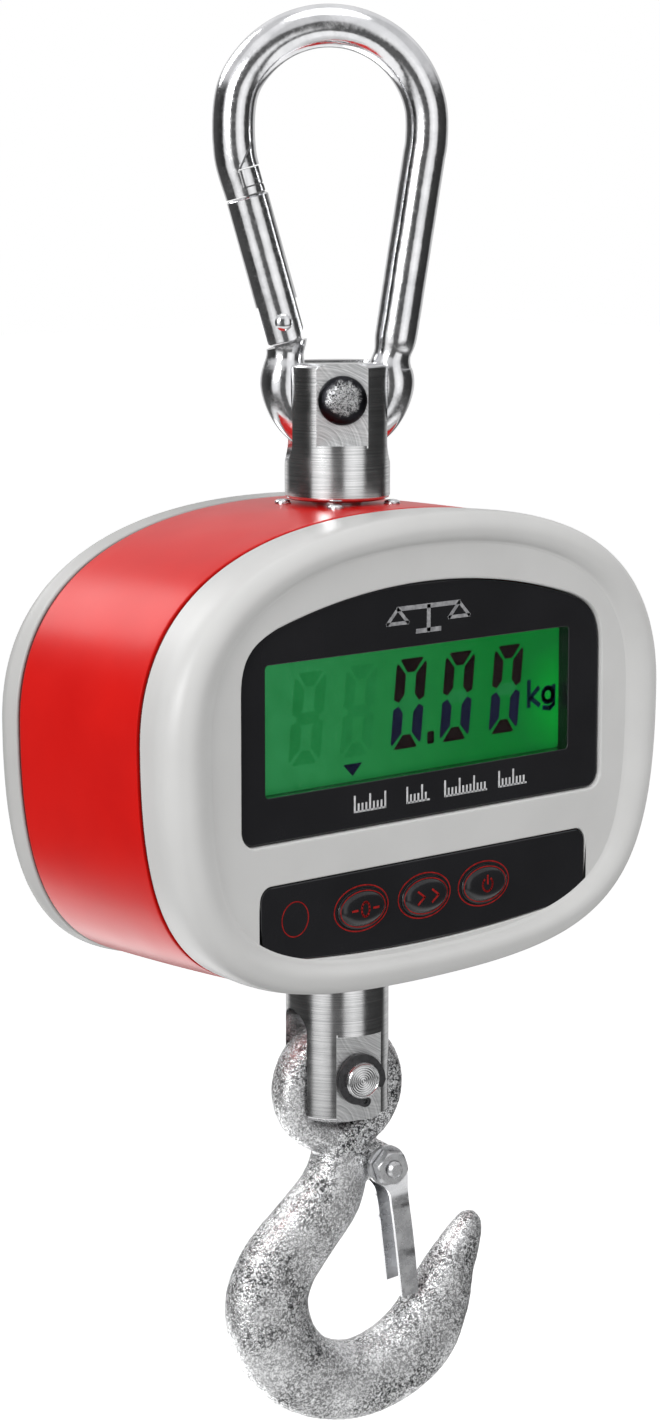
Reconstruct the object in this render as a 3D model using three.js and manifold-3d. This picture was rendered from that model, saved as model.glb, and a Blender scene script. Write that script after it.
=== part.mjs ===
// Hanging crane scale: snap hook, two swivel clevises, display housing and latch hook.
// Millimetres, +Z up, display facing -Y. Origin: inside top of the snap hook's bow,
// the point where the scale hangs. The load line is the Z axis.
import * as THREE from 'three';
import { mergeVertices } from 'three/addons/utils/BufferGeometryUtils.js';
import Module from 'manifold-3d';

const wasm = await Module();
wasm.setup();

// ---------------------------------------------------------------- driving dimensions
const GAP = 0.3;                 // clearance kept between neighbouring pieces

const WIRE_R = 6;                // snap hook wire
const BOW_R = 27.6;              // centre-line radius of the bow's top arch
const BOW_X = -2.2;              // arch centre, off the load line towards the gate
const EYE_R = 15.5;              // centre-line radius of the small lower eye
const EYE_Z = -92.6;
const GATE_LEAN = 15.5;          // degrees from vertical, gate side
const SPINE_LEAN = 8.8;          // degrees from vertical, spine side
const NOSE_Z = -40.6;            // where the nose ends and the gate begins
const HINGE_Z = -75.8;           // gate rivet height

const CLEVIS_R = 15;
const SLOT_HALF = 6.6;
const FLAT_V = 13.1;             // milled flats, distance from the axis
const STEM_R = 8;
const UPPER_PIN_Z = -97.3;
const LOWER_PIN_Z = -293;
const UPPER_AZIMUTH = -37;       // clevis slot directions at rest, degrees from +X
const LOWER_AZIMUTH = -14.66;

const SEAM_FRONT = -23.1;        // joint planes between the housing shells
const SEAM_REAR = 27.6;
const HOUSING_TOP = -127.3;
const HOUSING_BOTTOM = -259;
const HOUSING_WIDE_Z = -184.2;   // height of the widest point
const HOUSING_HALF = 93.9;
const SHELL = 3;                 // wall of the middle band
const FACE_Y = -38.3;            // flat front face of the bezel
const FACE_BACK_Y = -32.5;
const REAR_Y = 41;               // flat back of the rear cover

const EYE_HOOK_Z = -298.2;       // centre of the load hook's eye
const BOLT_U = 12.5;             // latch bolt, in the hook's own plane
const BOLT_Z = -322.3;
const LATCH_LEAN = 8.9;
const LATCH_LENGTH = 43;

const LCD = { left: -62, right: 62, bottom: -203, top: -163.5, front: -33.2 };
const PCB_FRONT = -25.3;
const KEY_X = [-26.1, -1.7, 22];
const KEY_Z = -235.2;
const SENSOR_X = -49.7;
const SOCKET_X = -38;            // charging socket in the rear cover
const SOCKET_Z = -240;

const rad = THREE.MathUtils.degToRad;

// ---------------------------------------------------------------- materials
const finish = (color, roughness, metalness) =>
  new THREE.MeshStandardMaterial({ color, roughness, metalness });
const CHROME = finish(0xd8dadd, 0.12, 1);
const STEEL = finish(0xb4b6b8, 0.32, 1);
const ZINC = finish(0xbfc1c2, 0.45, 1);
const BLACK_STEEL = finish(0x1d1d1f, 0.5, 0.8);
const WHITE_PLASTIC = finish(0xd6d5d0, 0.45, 0);
const RED_PLASTIC = finish(0xc81e18, 0.4, 0);
const SEAL_RED = finish(0x6d0f0d, 0.7, 0);
const BLACK_GLOSS = finish(0x1c1c20, 0.12, 0);
const CLEAR = finish(0xdfe8e2, 0.05, 0);
const LCD_GREEN = finish(0x1f9a45, 0.2, 0);
const BOARD_GREEN = finish(0x1d5a36, 0.5, 0);
const DARK_PLASTIC = finish(0x2a2b2d, 0.5, 0);
const ALUMINIUM = finish(0xc2c5c8, 0.4, 1);

// ---------------------------------------------------------------- solid helpers
function signedVolume(geometry) {
  const p = geometry.attributes.position;
  const corner = (i) => new THREE.Vector3().fromBufferAttribute(p, geometry.index.getX(i));
  let volume = 0;
  for (let i = 0; i < geometry.index.count; i += 3) {
    volume += corner(i).dot(corner(i + 1).cross(corner(i + 2)));
  }
  return volume / 6;
}

// A closed three.js geometry as a manifold solid, faces turned outwards.
function solid(source) {
  const bare = source.clone();
  bare.deleteAttribute('normal');
  bare.deleteAttribute('uv');
  const merged = mergeVertices(bare, 1e-4);
  const index = Array.from(merged.index.array);
  const kept = [];
  for (let i = 0; i < index.length; i += 3) {
    const [a, b, c] = index.slice(i, i + 3);
    if (a !== b && b !== c && c !== a) kept.push(a, b, c);
  }
  merged.setIndex(kept);
  const triVerts = Uint32Array.from(kept);
  if (signedVolume(merged) < 0) triVerts.reverse();
  const vertProperties = Float32Array.from(merged.attributes.position.array);
  return new wasm.Manifold(new wasm.Mesh({ numProp: 3, vertProperties, triVerts }));
}

function toGeometry(manifold) {
  const { vertProperties, triVerts, numProp } = manifold.getMesh();
  const positions = new Float32Array((vertProperties.length / numProp) * 3);
  for (let i = 0; i < positions.length / 3; i++) {
    for (let k = 0; k < 3; k++) positions[i * 3 + k] = vertProperties[i * numProp + k];
  }
  const geometry = new THREE.BufferGeometry();
  geometry.setAttribute('position', new THREE.BufferAttribute(positions, 3));
  geometry.setIndex(new THREE.BufferAttribute(Uint32Array.from(triVerts), 1));
  geometry.computeVertexNormals();
  return geometry;
}

const cut = (base, ...tools) => tools.reduce((body, tool) => body.subtract(tool), base);
const join = (base, ...extras) => extras.reduce((body, extra) => body.add(extra), base);

function box([x0, x1], [y0, y1], [z0, z1]) {
  const geometry = new THREE.BoxGeometry(x1 - x0, y1 - y0, z1 - z0);
  geometry.translate((x0 + x1) / 2, (y0 + y1) / 2, (z0 + z1) / 2);
  return solid(geometry);
}

// Cylinders along one axis, from a to b, with the other two coordinates given.
function rodZ(r, x, y, a, b, sides = 32) {
  const geometry = new THREE.CylinderGeometry(r, r, b - a, sides).rotateX(Math.PI / 2);
  return solid(geometry.translate(x, y, (a + b) / 2));
}
function rodY(r, x, z, a, b, sides = 28) {
  const geometry = new THREE.CylinderGeometry(r, r, b - a, sides);
  return solid(geometry.translate(x, (a + b) / 2, z));
}
function rodX(r, y, z, a, b, sides = 28) {
  const geometry = new THREE.CylinderGeometry(r, r, b - a, sides).rotateZ(Math.PI / 2);
  return solid(geometry.translate((a + b) / 2, y, z));
}

// Turned piece: profile points are [radius, height], closed on themselves or the axis.
function turned(profile, sides = 32) {
  return new THREE.LatheGeometry(profile.map(([r, h]) => new THREE.Vector2(r, h)), sides);
}
const turnedZ = (profile, sides) => solid(turned(profile, sides).rotateX(Math.PI / 2));
const turnedY = (profile, sides) => solid(turned(profile, sides));

// A flat outline in X and Z given thickness from y0 to y1.
function plate(shape, y0, y1, curveSegments = 6) {
  const geometry = new THREE.ExtrudeGeometry(shape, {
    depth: y1 - y0, bevelEnabled: false, curveSegments,
  });
  return solid(geometry.rotateX(Math.PI / 2).translate(0, y1, 0));
}

function roundedRect(left, right, bottom, top, r) {
  const shape = new THREE.Shape();
  shape.moveTo(left + r, bottom);
  shape.lineTo(right - r, bottom);
  shape.absarc(right - r, bottom + r, r, -Math.PI / 2, 0);
  shape.lineTo(right, top - r);
  shape.absarc(right - r, top - r, r, 0, Math.PI / 2);
  shape.lineTo(left + r, top);
  shape.absarc(left + r, top - r, r, Math.PI / 2, Math.PI);
  shape.lineTo(left, bottom + r);
  shape.absarc(left + r, bottom + r, r, Math.PI, Math.PI * 1.5);
  return shape;
}

// Rings of equally many points joined into a skin, with a fan over each end.
function loft(rings) {
  const count = rings[0].length;
  const points = rings.flat();
  const index = [];
  for (let r = 0; r + 1 < rings.length; r++) {
    for (let k = 0; k < count; k++) {
      const a = r * count + k;
      const b = r * count + ((k + 1) % count);
      index.push(a, b, b + count, a, b + count, a + count);
    }
  }
  const addFan = (ring, first, flip) => {
    const centre = ring.reduce((sum, p) => sum.add(p), new THREE.Vector3()).divideScalar(count);
    points.push(centre);
    for (let k = 0; k < count; k++) {
      const a = first + k;
      const b = first + ((k + 1) % count);
      index.push(points.length - 1, flip ? b : a, flip ? a : b);
    }
  };
  addFan(rings[0], 0, true);
  addFan(rings[rings.length - 1], (rings.length - 1) * count, false);
  const geometry = new THREE.BufferGeometry().setFromPoints(points);
  geometry.setIndex(index);
  return solid(geometry);
}

const scale = new THREE.Group();
scale.name = 'crane_scale';

function turnedGroup(azimuth) {
  const group = new THREE.Group();
  group.rotation.z = rad(azimuth);
  scale.add(group);
  return group;
}
const upperGroup = turnedGroup(UPPER_AZIMUTH);
const lowerGroup = turnedGroup(LOWER_AZIMUTH);

function place(name, manifold, material, parent = scale) {
  const mesh = new THREE.Mesh(toGeometry(manifold), material);
  mesh.name = name;
  parent.add(mesh);
  return mesh;
}

// ---------------------------------------------------------------- snap hook
// Its plane is local X and Z. The gate side leans inwards going down.
const gateUp = new THREE.Vector2(-Math.sin(rad(GATE_LEAN)), Math.cos(rad(GATE_LEAN)));
const gateIn = new THREE.Vector2(gateUp.y, -gateUp.x);
const spineUp = new THREE.Vector2(Math.sin(rad(SPINE_LEAN)), Math.cos(rad(SPINE_LEAN)));
const archCentre = new THREE.Vector2(BOW_X, WIRE_R - BOW_R);
const gateTangent = archCentre.clone().addScaledVector(gateIn, -BOW_R);
const onArch = (x, z) => archCentre.clone().add(new THREE.Vector2(x, z).multiplyScalar(BOW_R));
const spineTangent = onArch(spineUp.y, -spineUp.x);

// Point on a straight side, at a given height.
function sideAt(tangent, up, z) {
  return tangent.clone().addScaledVector(up, (z - tangent.y) / up.y);
}
const noseEnd = sideAt(gateTangent, gateUp, NOSE_Z);
const hingeAt = sideAt(gateTangent, gateUp, HINGE_Z);

// Local frame on the gate's line: along it, inwards across it, and out of plane.
function alongGate(origin, geometry) {
  const turn = new THREE.Matrix4().makeBasis(
    new THREE.Vector3(gateIn.x, 0, gateIn.y),
    new THREE.Vector3(0, 1, 0),
    new THREE.Vector3(gateUp.x, 0, gateUp.y),
  );
  const moved = geometry.clone().applyMatrix4(turn);
  return solid(moved.translate(origin.x, 0, origin.y));
}
function gateBox(origin, inward, across, along) {
  const size = [inward, across, along].map(([a, b]) => b - a);
  const mid = [inward, across, along].map(([a, b]) => (a + b) / 2);
  return alongGate(origin, new THREE.BoxGeometry(...size).translate(...mid));
}
function gateRod(origin, r, a, b, sides = 24) {
  const geometry = new THREE.CylinderGeometry(r, r, b - a, sides).rotateX(Math.PI / 2);
  return alongGate(origin, geometry.translate(0, 0, (a + b) / 2));
}

const COLLAR = 6.5;              // wire end below the rivet
const TONGUE_HALF = 2.6;

function bowPath() {
  const eye = (deg) => new THREE.Vector2(EYE_R * Math.cos(rad(deg)), EYE_Z + EYE_R * Math.sin(rad(deg)));
  const arch = (deg) => onArch(Math.cos(rad(deg)), Math.sin(rad(deg)));
  const points = [hingeAt.clone().addScaledVector(gateUp, 2 - COLLAR)];
  for (let deg = 166; deg <= 374; deg += 16) points.push(eye(deg));
  for (const z of [-80, -62, -44, -30]) points.push(sideAt(spineTangent, spineUp, z));
  for (let deg = -SPINE_LEAN; deg <= 180; deg += 21) points.push(arch(deg));
  points.push(gateTangent.clone(), noseEnd);
  return new THREE.CatmullRomCurve3(points.map((p) => new THREE.Vector3(p.x, 0, p.y)), false, 'centripetal');
}

function bowBody() {
  const section = new THREE.Shape().absarc(0, 0, WIRE_R, 0, Math.PI * 2);
  const wire = solid(new THREE.ExtrudeGeometry(section, {
    extrudePath: bowPath(), steps: 54, curveSegments: 6, bevelEnabled: false,
  }));
  const collarCut = gateBox(hingeAt, [-9, 9], [-9, 9], [-COLLAR, 8]);
  const tongue = join(
    gateBox(hingeAt, [-4, 4], [-TONGUE_HALF, TONGUE_HALF], [-COLLAR - 1, 0]),
    rodY(4, hingeAt.x, hingeAt.y, -TONGUE_HALF, TONGUE_HALF, 24),
  );
  const notch = join(
    gateBox(noseEnd, [-0.8, 8], [-8, 8], [2, 7.4]),
    gateBox(noseEnd, [-0.8, 8], [-2.9, 2.9], [-2, 7.4]),
  );
  const rivetHole = rodY(2.3, hingeAt.x, hingeAt.y, -9, 9, 20);
  return cut(join(cut(wire, collarCut), tongue), notch, rivetHole);
}

function gateBody() {
  const top = noseEnd.distanceTo(hingeAt) - 0.5;
  const barrel = join(
    gateRod(hingeAt, WIRE_R, 0, top),
    rodY(WIRE_R, hingeAt.x, hingeAt.y, -8, 8, 24).intersect(gateRod(hingeAt, WIRE_R, -8, 1)),
  );
  const neck = gateBox(noseEnd, [-0.4, 5], [-2.5, 2.5], [-1.5, 3]);
  const head = gateBox(noseEnd, [-0.4, 5.2], [-6, 6], [2.4, 7])
    .intersect(gateRod(noseEnd, WIRE_R - 0.1, 0, 8));
  const slot = gateBox(hingeAt, [-8, 8], [-TONGUE_HALF - 0.4, TONGUE_HALF + 0.4], [-8, 5.5]);
  const springBore = gateRod(hingeAt, 2.6, 5, 24, 16);
  const rivetHole = rodY(2.3, hingeAt.x, hingeAt.y, -9, 9, 20);
  return cut(join(barrel, neck, head), slot, springBore, rivetHole);
}

function rivet() {
  const head = 7.3;
  const half = [[2, 6.3], [2.9, 6.35], [1.8, 7.1], [0, head]];
  const mirrored = half.map(([r, h]) => [r, -h]).reverse();
  return turnedY([...mirrored, ...half], 20);
}

place('snap_hook_body', bowBody(), CHROME, upperGroup);
place('snap_hook_gate', gateBody(), CHROME, upperGroup);
place('gate_rivet', rivet().translate([hingeAt.x, 0, hingeAt.y]), CHROME, upperGroup);
place('gate_spring', gateRod(hingeAt, 2.2, 6.2, 22, 12), STEEL, upperGroup);

// ---------------------------------------------------------------- clevises, pins and clips
// Built with the pin axis at the origin along local Y, ears up and stem down.
function clevis({ ear, foot, slotDepth, flatDepth, stemEnd, pinR }) {
  const body = turnedZ([
    [0, -stemEnd], [STEM_R - 1, -stemEnd], [STEM_R, 1 - stemEnd], [STEM_R, -foot],
    [CLEVIS_R - 0.6, -foot], [CLEVIS_R, 0.6 - foot], [CLEVIS_R, ear - 1], [CLEVIS_R - 1, ear], [0, ear],
  ], 32);
  const slotRound = rodX(SLOT_HALF, 0, SLOT_HALF - slotDepth, -20, 20, 24);
  const slot = box([-20, 20], [-SLOT_HALF, SLOT_HALF], [SLOT_HALF - slotDepth, ear + 5]);
  const flats = [[-20, -FLAT_V], [FLAT_V, 20]].map((across) => box([-20, 20], across, [-flatDepth, ear + 5]));
  const pinHole = rodY(pinR + GAP, 0, 0, -20, 20, 24);
  return cut(body, slotRound, slot, ...flats, pinHole);
}

// Round pin with a domed head on -Y and a groove for its clip on +Y.
const GROOVE = [FLAT_V + 0.25, FLAT_V + 1.65];
function clevisPin(pinR) {
  const headR = 6.75;
  const seat = -(FLAT_V + GAP);
  return turnedY([
    [0, seat - 3.4], [headR * 0.45, seat - 3.2], [headR * 0.8, seat - 2.3], [headR, seat - 0.9],
    [headR, seat], [pinR, seat], [pinR, GROOVE[0]], [pinR - 1.1, GROOVE[0]], [pinR - 1.1, GROOVE[1]],
    [pinR, GROOVE[1]], [pinR, GROOVE[1] + 1.6], [pinR - 0.6, GROOVE[1] + 2.2], [0, GROOVE[1] + 2.2],
  ], 20);
}

// Spring clip in the pin's groove: an open ring with three inward lugs.
function pinClip(pinR) {
  const outer = pinR + 2.5;
  const ring = pinR + 0.6;
  const lug = pinR - 0.75;
  const shape = new THREE.Shape().absarc(0, 0, outer, rad(38), rad(322));
  for (let deg = 322; deg >= 38; deg -= 8) {
    const isLug = deg > 300 || deg < 60 || Math.abs(deg - 180) < 14;
    const r = isLug ? lug : ring;
    shape.lineTo(r * Math.cos(rad(deg)), r * Math.sin(rad(deg)));
  }
  return plate(shape, GROOVE[0] + 0.2, GROOVE[1] - 0.2, 12);
}

const UPPER_PIN_R = 4.5;
const LOWER_PIN_R = 5;
const CLEVIS_SEAT = 1.4;         // running gap between a clevis shoulder and the housing
const ARM_TOP = -157;            // inside faces of the load cell's window
const ARM_BOTTOM = -229;
const BEARING = 6;
const NUT = 10;

const upperFoot = UPPER_PIN_Z - (HOUSING_TOP + CLEVIS_SEAT);
const lowerFoot = HOUSING_BOTTOM - CLEVIS_SEAT - LOWER_PIN_Z;
const upperStemEnd = UPPER_PIN_Z - (ARM_TOP - BEARING - NUT - 3);
const lowerStemEnd = (ARM_BOTTOM + BEARING + NUT + 3) - LOWER_PIN_Z;

const upperClevis = clevis({
  ear: 10.2, foot: upperFoot, slotDepth: 18.7, flatDepth: 12.7, stemEnd: upperStemEnd, pinR: UPPER_PIN_R,
});
const lowerClevis = clevis({
  ear: 12.5, foot: lowerFoot, slotDepth: 19.6, flatDepth: 13, stemEnd: lowerStemEnd, pinR: LOWER_PIN_R,
});
const raise = (manifold) => manifold.translate([0, 0, UPPER_PIN_Z]);
const hang = (manifold) => manifold.rotate([180, 0, 0]).translate([0, 0, LOWER_PIN_Z]);

place('upper_clevis', raise(upperClevis), STEEL, upperGroup);
place('upper_pin', raise(clevisPin(UPPER_PIN_R)), BLACK_STEEL, upperGroup);
place('upper_pin_clip', raise(pinClip(UPPER_PIN_R).rotate([0, -40, 0])), BLACK_STEEL, upperGroup);
place('lower_clevis', hang(lowerClevis), STEEL, lowerGroup);
place('lower_pin', hang(clevisPin(LOWER_PIN_R)), STEEL, lowerGroup);
place('lower_pin_clip', hang(pinClip(LOWER_PIN_R).rotate([0, -50, 0])), BLACK_STEEL, lowerGroup);

function hexNut(across, bore, z0, z1) {
  const hex = new THREE.CylinderGeometry(across / Math.sqrt(3), across / Math.sqrt(3), z1 - z0, 6);
  const block = solid(hex.rotateX(Math.PI / 2).translate(0, 0, (z0 + z1) / 2));
  return block.subtract(rodZ(bore, 0, 0, z0 - 1, z1 + 1));
}
function washer(r, z0, z1) {
  const bore = STEM_R + 0.5;
  return turnedZ([[bore, z0], [r, z0], [r, z1], [bore, z1], [bore, z0]]);
}
const NUT_BORE = STEM_R + 0.35;
const upperNut = hexNut(24, NUT_BORE, ARM_TOP - BEARING - NUT, ARM_TOP - BEARING - 0.8);
const lowerNut = hexNut(24, NUT_BORE, ARM_BOTTOM + BEARING + 0.8, ARM_BOTTOM + BEARING + NUT);

place('upper_nut', upperNut, ZINC, upperGroup);
place('lower_nut', lowerNut, ZINC, lowerGroup);
place('upper_thrust_bearing', washer(13.4, ARM_TOP - BEARING - 0.4, ARM_TOP - 0.4), STEEL);
place('lower_thrust_bearing', washer(13.4, ARM_BOTTOM + 0.4, ARM_BOTTOM + BEARING + 0.4), STEEL);

// ---------------------------------------------------------------- housing outline
// Right half: a shoulder curve down to the widest point and a flank curve to the bottom.
const shoulder = new THREE.CubicBezierCurve(
  new THREE.Vector2(0, HOUSING_TOP), new THREE.Vector2(76.3, HOUSING_TOP),
  new THREE.Vector2(HOUSING_HALF, HOUSING_WIDE_Z + 27.1), new THREE.Vector2(HOUSING_HALF, HOUSING_WIDE_Z),
);
const flank = new THREE.CubicBezierCurve(
  new THREE.Vector2(HOUSING_HALF, HOUSING_WIDE_Z), new THREE.Vector2(HOUSING_HALF, HOUSING_WIDE_Z - 64),
  new THREE.Vector2(72.2, HOUSING_BOTTOM), new THREE.Vector2(0, HOUSING_BOTTOM),
);
const HALF_STEPS = 10;

// A point of the right half at t from 0 (top) to 2 (bottom), moved inwards by inset.
function housingPoint(t, inset) {
  const curve = t < 1 ? shoulder : flank;
  const local = t < 1 ? t : t - 1;
  const tangent = curve.getTangent(local);
  return curve.getPoint(local).add(new THREE.Vector2(tangent.y, -tangent.x).multiplyScalar(inset));
}

function housingOutline(inset) {
  const right = [];
  for (let k = 0; k <= 2 * HALF_STEPS; k++) right.push(housingPoint(k / HALF_STEPS, inset));
  right[0].x = 0;
  right[right.length - 1].x = 0;
  const left = right.slice(1, -1).reverse().map((p) => new THREE.Vector2(-p.x, p.y));
  return [...right, ...left];
}
const housingRing = (inset, y) => housingOutline(inset).map((p) => new THREE.Vector3(p.x, y, p.y));
const shellLoft = (profile) => loft(profile.map(([inset, y]) => housingRing(inset, y)));

// Screw bosses follow the outline at its four corners.
const BOSS_T = [0.48, 1.52];
const BOSS_INSET = 8;
const bossCentres = BOSS_T.flatMap((t) => {
  const p = housingPoint(t, BOSS_INSET);
  return [p, new THREE.Vector2(-p.x, p.y)];
});
const neckScrewSpots = [[11, 11], [-11, 11], [-11, -11], [11, -11]];

// ---------------------------------------------------------------- housing shells
function middleBand() {
  const y0 = SEAM_FRONT + GAP;
  const y1 = SEAM_REAR - GAP;
  const ring = shellLoft([[0, y0], [0, y1]]).subtract(shellLoft([[SHELL, y0 - 1], [SHELL, y1 + 1]]));
  const bosses = bossCentres.map((p) => rodY(6, p.x, p.y, y0, y1, 20));
  const bossHoles = bossCentres.map((p) => rodY(1.9, p.x, p.y, 12, y1 + 1, 10));
  const throats = [rodZ(STEM_R + 1.5, 0, 0, -140, -120, 24), rodZ(STEM_R + 1.5, 0, 0, -265, -245, 24)];
  const screwHoles = neckScrewSpots.flatMap(([x, y]) => [
    rodZ(1.8, x, y, -140, -120, 8), rodZ(1.8, x, y, -265, -245, 8),
  ]);
  return cut(join(ring, ...bosses), ...bossHoles, ...throats, ...screwHoles);
}

function sealRing(y0, y1) {
  return shellLoft([[0.6, y0], [0.6, y1]]).subtract(shellLoft([[2.4, y0 - 1], [2.4, y1 + 1]]));
}

const WINDOW = { half: 70.3, bottom: -212.9, arcHalf: 57, arcSide: -154.4, arcTop: -146.2, corner: 5 };
function windowShape(grow) {
  const w = WINDOW.half + grow;
  const arcHalf = WINDOW.arcHalf;
  const rise = WINDOW.arcTop - WINDOW.arcSide;
  const r = (arcHalf * arcHalf + rise * rise) / (2 * rise) + grow;
  const half = Math.asin(arcHalf / (r - grow));
  const c = WINDOW.corner + grow;
  const low = WINDOW.bottom - grow;
  const shape = new THREE.Shape();
  shape.moveTo(-w + c, low);
  shape.lineTo(w - c, low);
  shape.absarc(w - c, low + c, c, -Math.PI / 2, 0);
  shape.lineTo(w, WINDOW.arcSide - 17);
  const top = new THREE.Vector2(r * Math.sin(half), WINDOW.arcTop + grow - r + r * Math.cos(half));
  shape.bezierCurveTo(w, WINDOW.arcSide - 6, w - 5, WINDOW.arcSide - 3, top.x, top.y);
  shape.absarc(0, WINDOW.arcTop + grow - r, r, Math.PI / 2 - half, Math.PI / 2 + half);
  shape.bezierCurveTo(-w + 5, WINDOW.arcSide - 3, -w, WINDOW.arcSide - 6, -w, WINDOW.arcSide - 17);
  shape.lineTo(-w, low + c);
  shape.absarc(-w + c, low + c, c, Math.PI, Math.PI * 1.5);
  return shape;
}

const KEYPAD = { half: 63.9, top: -224.2, side: -243.6, bottom: -248.4, corner: 5 };
function keypadShape(grow) {
  const w = KEYPAD.half + grow;
  const c = KEYPAD.corner + grow;
  const top = KEYPAD.top + grow;
  const side = KEYPAD.side - grow;
  const shape = new THREE.Shape();
  shape.moveTo(-w + c, side);
  shape.quadraticCurveTo(0, 2 * (KEYPAD.bottom - grow) - side, w - c, side);
  shape.quadraticCurveTo(w, side, w, side + c);
  shape.lineTo(w, top - c);
  shape.absarc(w - c, top - c, c, 0, Math.PI / 2);
  shape.lineTo(-w + c, top);
  shape.absarc(-w + c, top - c, c, Math.PI / 2, Math.PI);
  shape.lineTo(-w, side + c);
  shape.quadraticCurveTo(-w, side, -w + c, side);
  return shape;
}

function ellipse(x, z, a, b, grow = 0) {
  return new THREE.Shape().absellipse(x, z, a + grow, b + grow, 0, Math.PI * 2);
}
const KEY_A = 9.2;
const KEY_B = 5.6;

const lcdFrame = (grow, corner = 1) => roundedRect(
  LCD.left - grow, LCD.right + grow, LCD.bottom - grow, LCD.top + grow, corner,
);

function frontBezel() {
  const outer = shellLoft([
    [0, SEAM_FRONT - 1.3], [-1.5, -33], [-1.2, -36.2], [0.6, -39.5], [3.8, -41.3],
    [8.2, -41.5], [13, -40.2], [18.5, FACE_Y],
  ]);
  const cavity = shellLoft([[4, -20], [4, FACE_BACK_Y]]);
  const windowPocket = plate(windowShape(GAP), FACE_Y - 8, -34.9);
  const lcdOpening = plate(lcdFrame(0.6), -36, -30);
  const keypadPocket = plate(keypadShape(GAP), FACE_Y - 8, -37.3);
  const keyPockets = KEY_X.map((x) => plate(ellipse(x, KEY_Z, KEY_A, KEY_B, 0.5), -38, -35.4));
  const plungerHoles = KEY_X.map((x) => rodY(3.2, x, KEY_Z, -36, -30, 20));
  const sensorHole = rodY(4, SENSOR_X, KEY_Z, -38, -30, 20);
  const pockets = [windowPocket, lcdOpening, keypadPocket, ...keyPockets];
  return cut(outer, cavity, ...pockets, ...plungerHoles, sensorHole);
}

function rearCover() {
  const y0 = SEAM_REAR + 1.3;
  const outer = shellLoft([[0, y0], [-0.5, 33], [1.2, 36.6], [4.6, 39.8], [9, REAR_Y]]);
  const cavity = shellLoft([[4, y0 - 1], [4, 37.5]]);
  const pillars = bossCentres.map((p) => rodY(6.5, p.x, p.y, y0, 38, 20));
  const heads = bossCentres.map((p) => rodY(4, p.x, p.y, 36, 45, 20));
  const shanks = bossCentres.map((p) => rodY(1.9, p.x, p.y, 20, 37, 10));
  const socketHole = rodY(6.2, SOCKET_X, SOCKET_Z, 30, 45, 24);
  return cut(join(outer.subtract(cavity), ...pillars), ...heads, ...shanks, socketHole);
}
place('middle_band', middleBand(), RED_PLASTIC);
place('front_seal', sealRing(SEAM_FRONT - 1, SEAM_FRONT), SEAL_RED);
place('rear_seal', sealRing(SEAM_REAR, SEAM_REAR + 1), SEAL_RED);
place('front_bezel', frontBezel(), WHITE_PLASTIC);
place('rear_cover', rearCover(), WHITE_PLASTIC);

// ---------------------------------------------------------------- fasteners on the housing
// Small domed screws that tie the band to the plates on the load cell.
function neckScrew(x, y, up) {
  const face = up ? HOUSING_TOP + 0.2 : HOUSING_BOTTOM - 0.2;
  const way = up ? 1 : -1;
  const profile = [[0, -9.6], [1.4, -9.6], [1.4, 0], [2.2, 0], [1.9, 0.6], [0, 0.85]];
  const screw = turnedZ(profile.map(([r, h]) => [r, h * way]), 12);
  return screw.translate([x, y, face]);
}
neckScrewSpots.forEach(([x, y], k) => {
  place(`neck_screw_${k + 1}`, neckScrew(x, y, true), ZINC);
  place(`foot_screw_${k + 1}`, neckScrew(x, y, false), ZINC);
});

function rearScrew(p) {
  const profile = [[0, 14], [1.5, 14], [1.5, 36.4], [3.4, 36.4], [3.4, 38.4], [2.6, 39.2], [0, 39.2]];
  const screw = turnedY(profile, 12);
  const cross = join(box([-1.8, 1.8], [37.8, 40], [-0.4, 0.4]), box([-0.4, 0.4], [37.8, 40], [-1.8, 1.8]));
  return screw.subtract(cross).translate([p.x, 0, p.y]);
}
bossCentres.forEach((p, k) => place(`rear_screw_${k + 1}`, rearScrew(p), ZINC));

// ---------------------------------------------------------------- display and keypad
function displayPanel() {
  const panel = plate(windowShape(0), -37.2, -35.2);
  const collar = plate(lcdFrame(0.2), -35.3, -33.5);
  const opening = plate(roundedRect(-60.8, 60.8, -201.2, -164.8, 1), -40, -30);
  return join(panel, collar).subtract(opening);
}
place('display_panel', displayPanel(), BLACK_GLOSS);
place('display_lens', plate(roundedRect(-60.5, 60.5, -200.9, -165.1, 0.8), -37.1, -36.1), CLEAR);
place('lcd_glass', plate(lcdFrame(0, 0.5), LCD.front, -30.4), LCD_GREEN);
place('lcd_backlight', box([LCD.left, LCD.right], [-30.1, -25.6], [LCD.bottom, LCD.top]), CLEAR);

const keypadHoles = KEY_X.map((x) => plate(ellipse(x, KEY_Z, KEY_A, KEY_B, 0.3), -40, -30));
place('keypad_overlay', cut(plate(keypadShape(0), -38.2, -37.6), ...keypadHoles), BLACK_GLOSS);

// Rocker-soft dome key with a plunger that reaches its switch.
function key(x) {
  const cap = plate(ellipse(x, KEY_Z, KEY_A, KEY_B), -38.8, -36.9);
  const crown = plate(ellipse(x, KEY_Z, KEY_A - 1.6, KEY_B - 1.4), -39.3, -38.7);
  return join(cap, crown, rodY(2.6, x, KEY_Z, -37, -30.2, 20));
}
KEY_X.forEach((x, k) => {
  place(`key_${k + 1}`, key(x), BLACK_GLOSS);
  const body = box([x - 3, x + 3], [-28.4, PCB_FRONT], [KEY_Z - 3, KEY_Z + 3]);
  place(`key_switch_${k + 1}`, join(body, rodY(1.7, x, KEY_Z, -29.2, -28, 16)), DARK_PLASTIC);
});
place('remote_sensor', rodY(3.4, SENSOR_X, KEY_Z, -36.8, PCB_FRONT, 20), DARK_PLASTIC);
place('main_board', box([-60, 60], [-25, -23.4], [-245, -160]), BOARD_GREEN);
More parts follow.
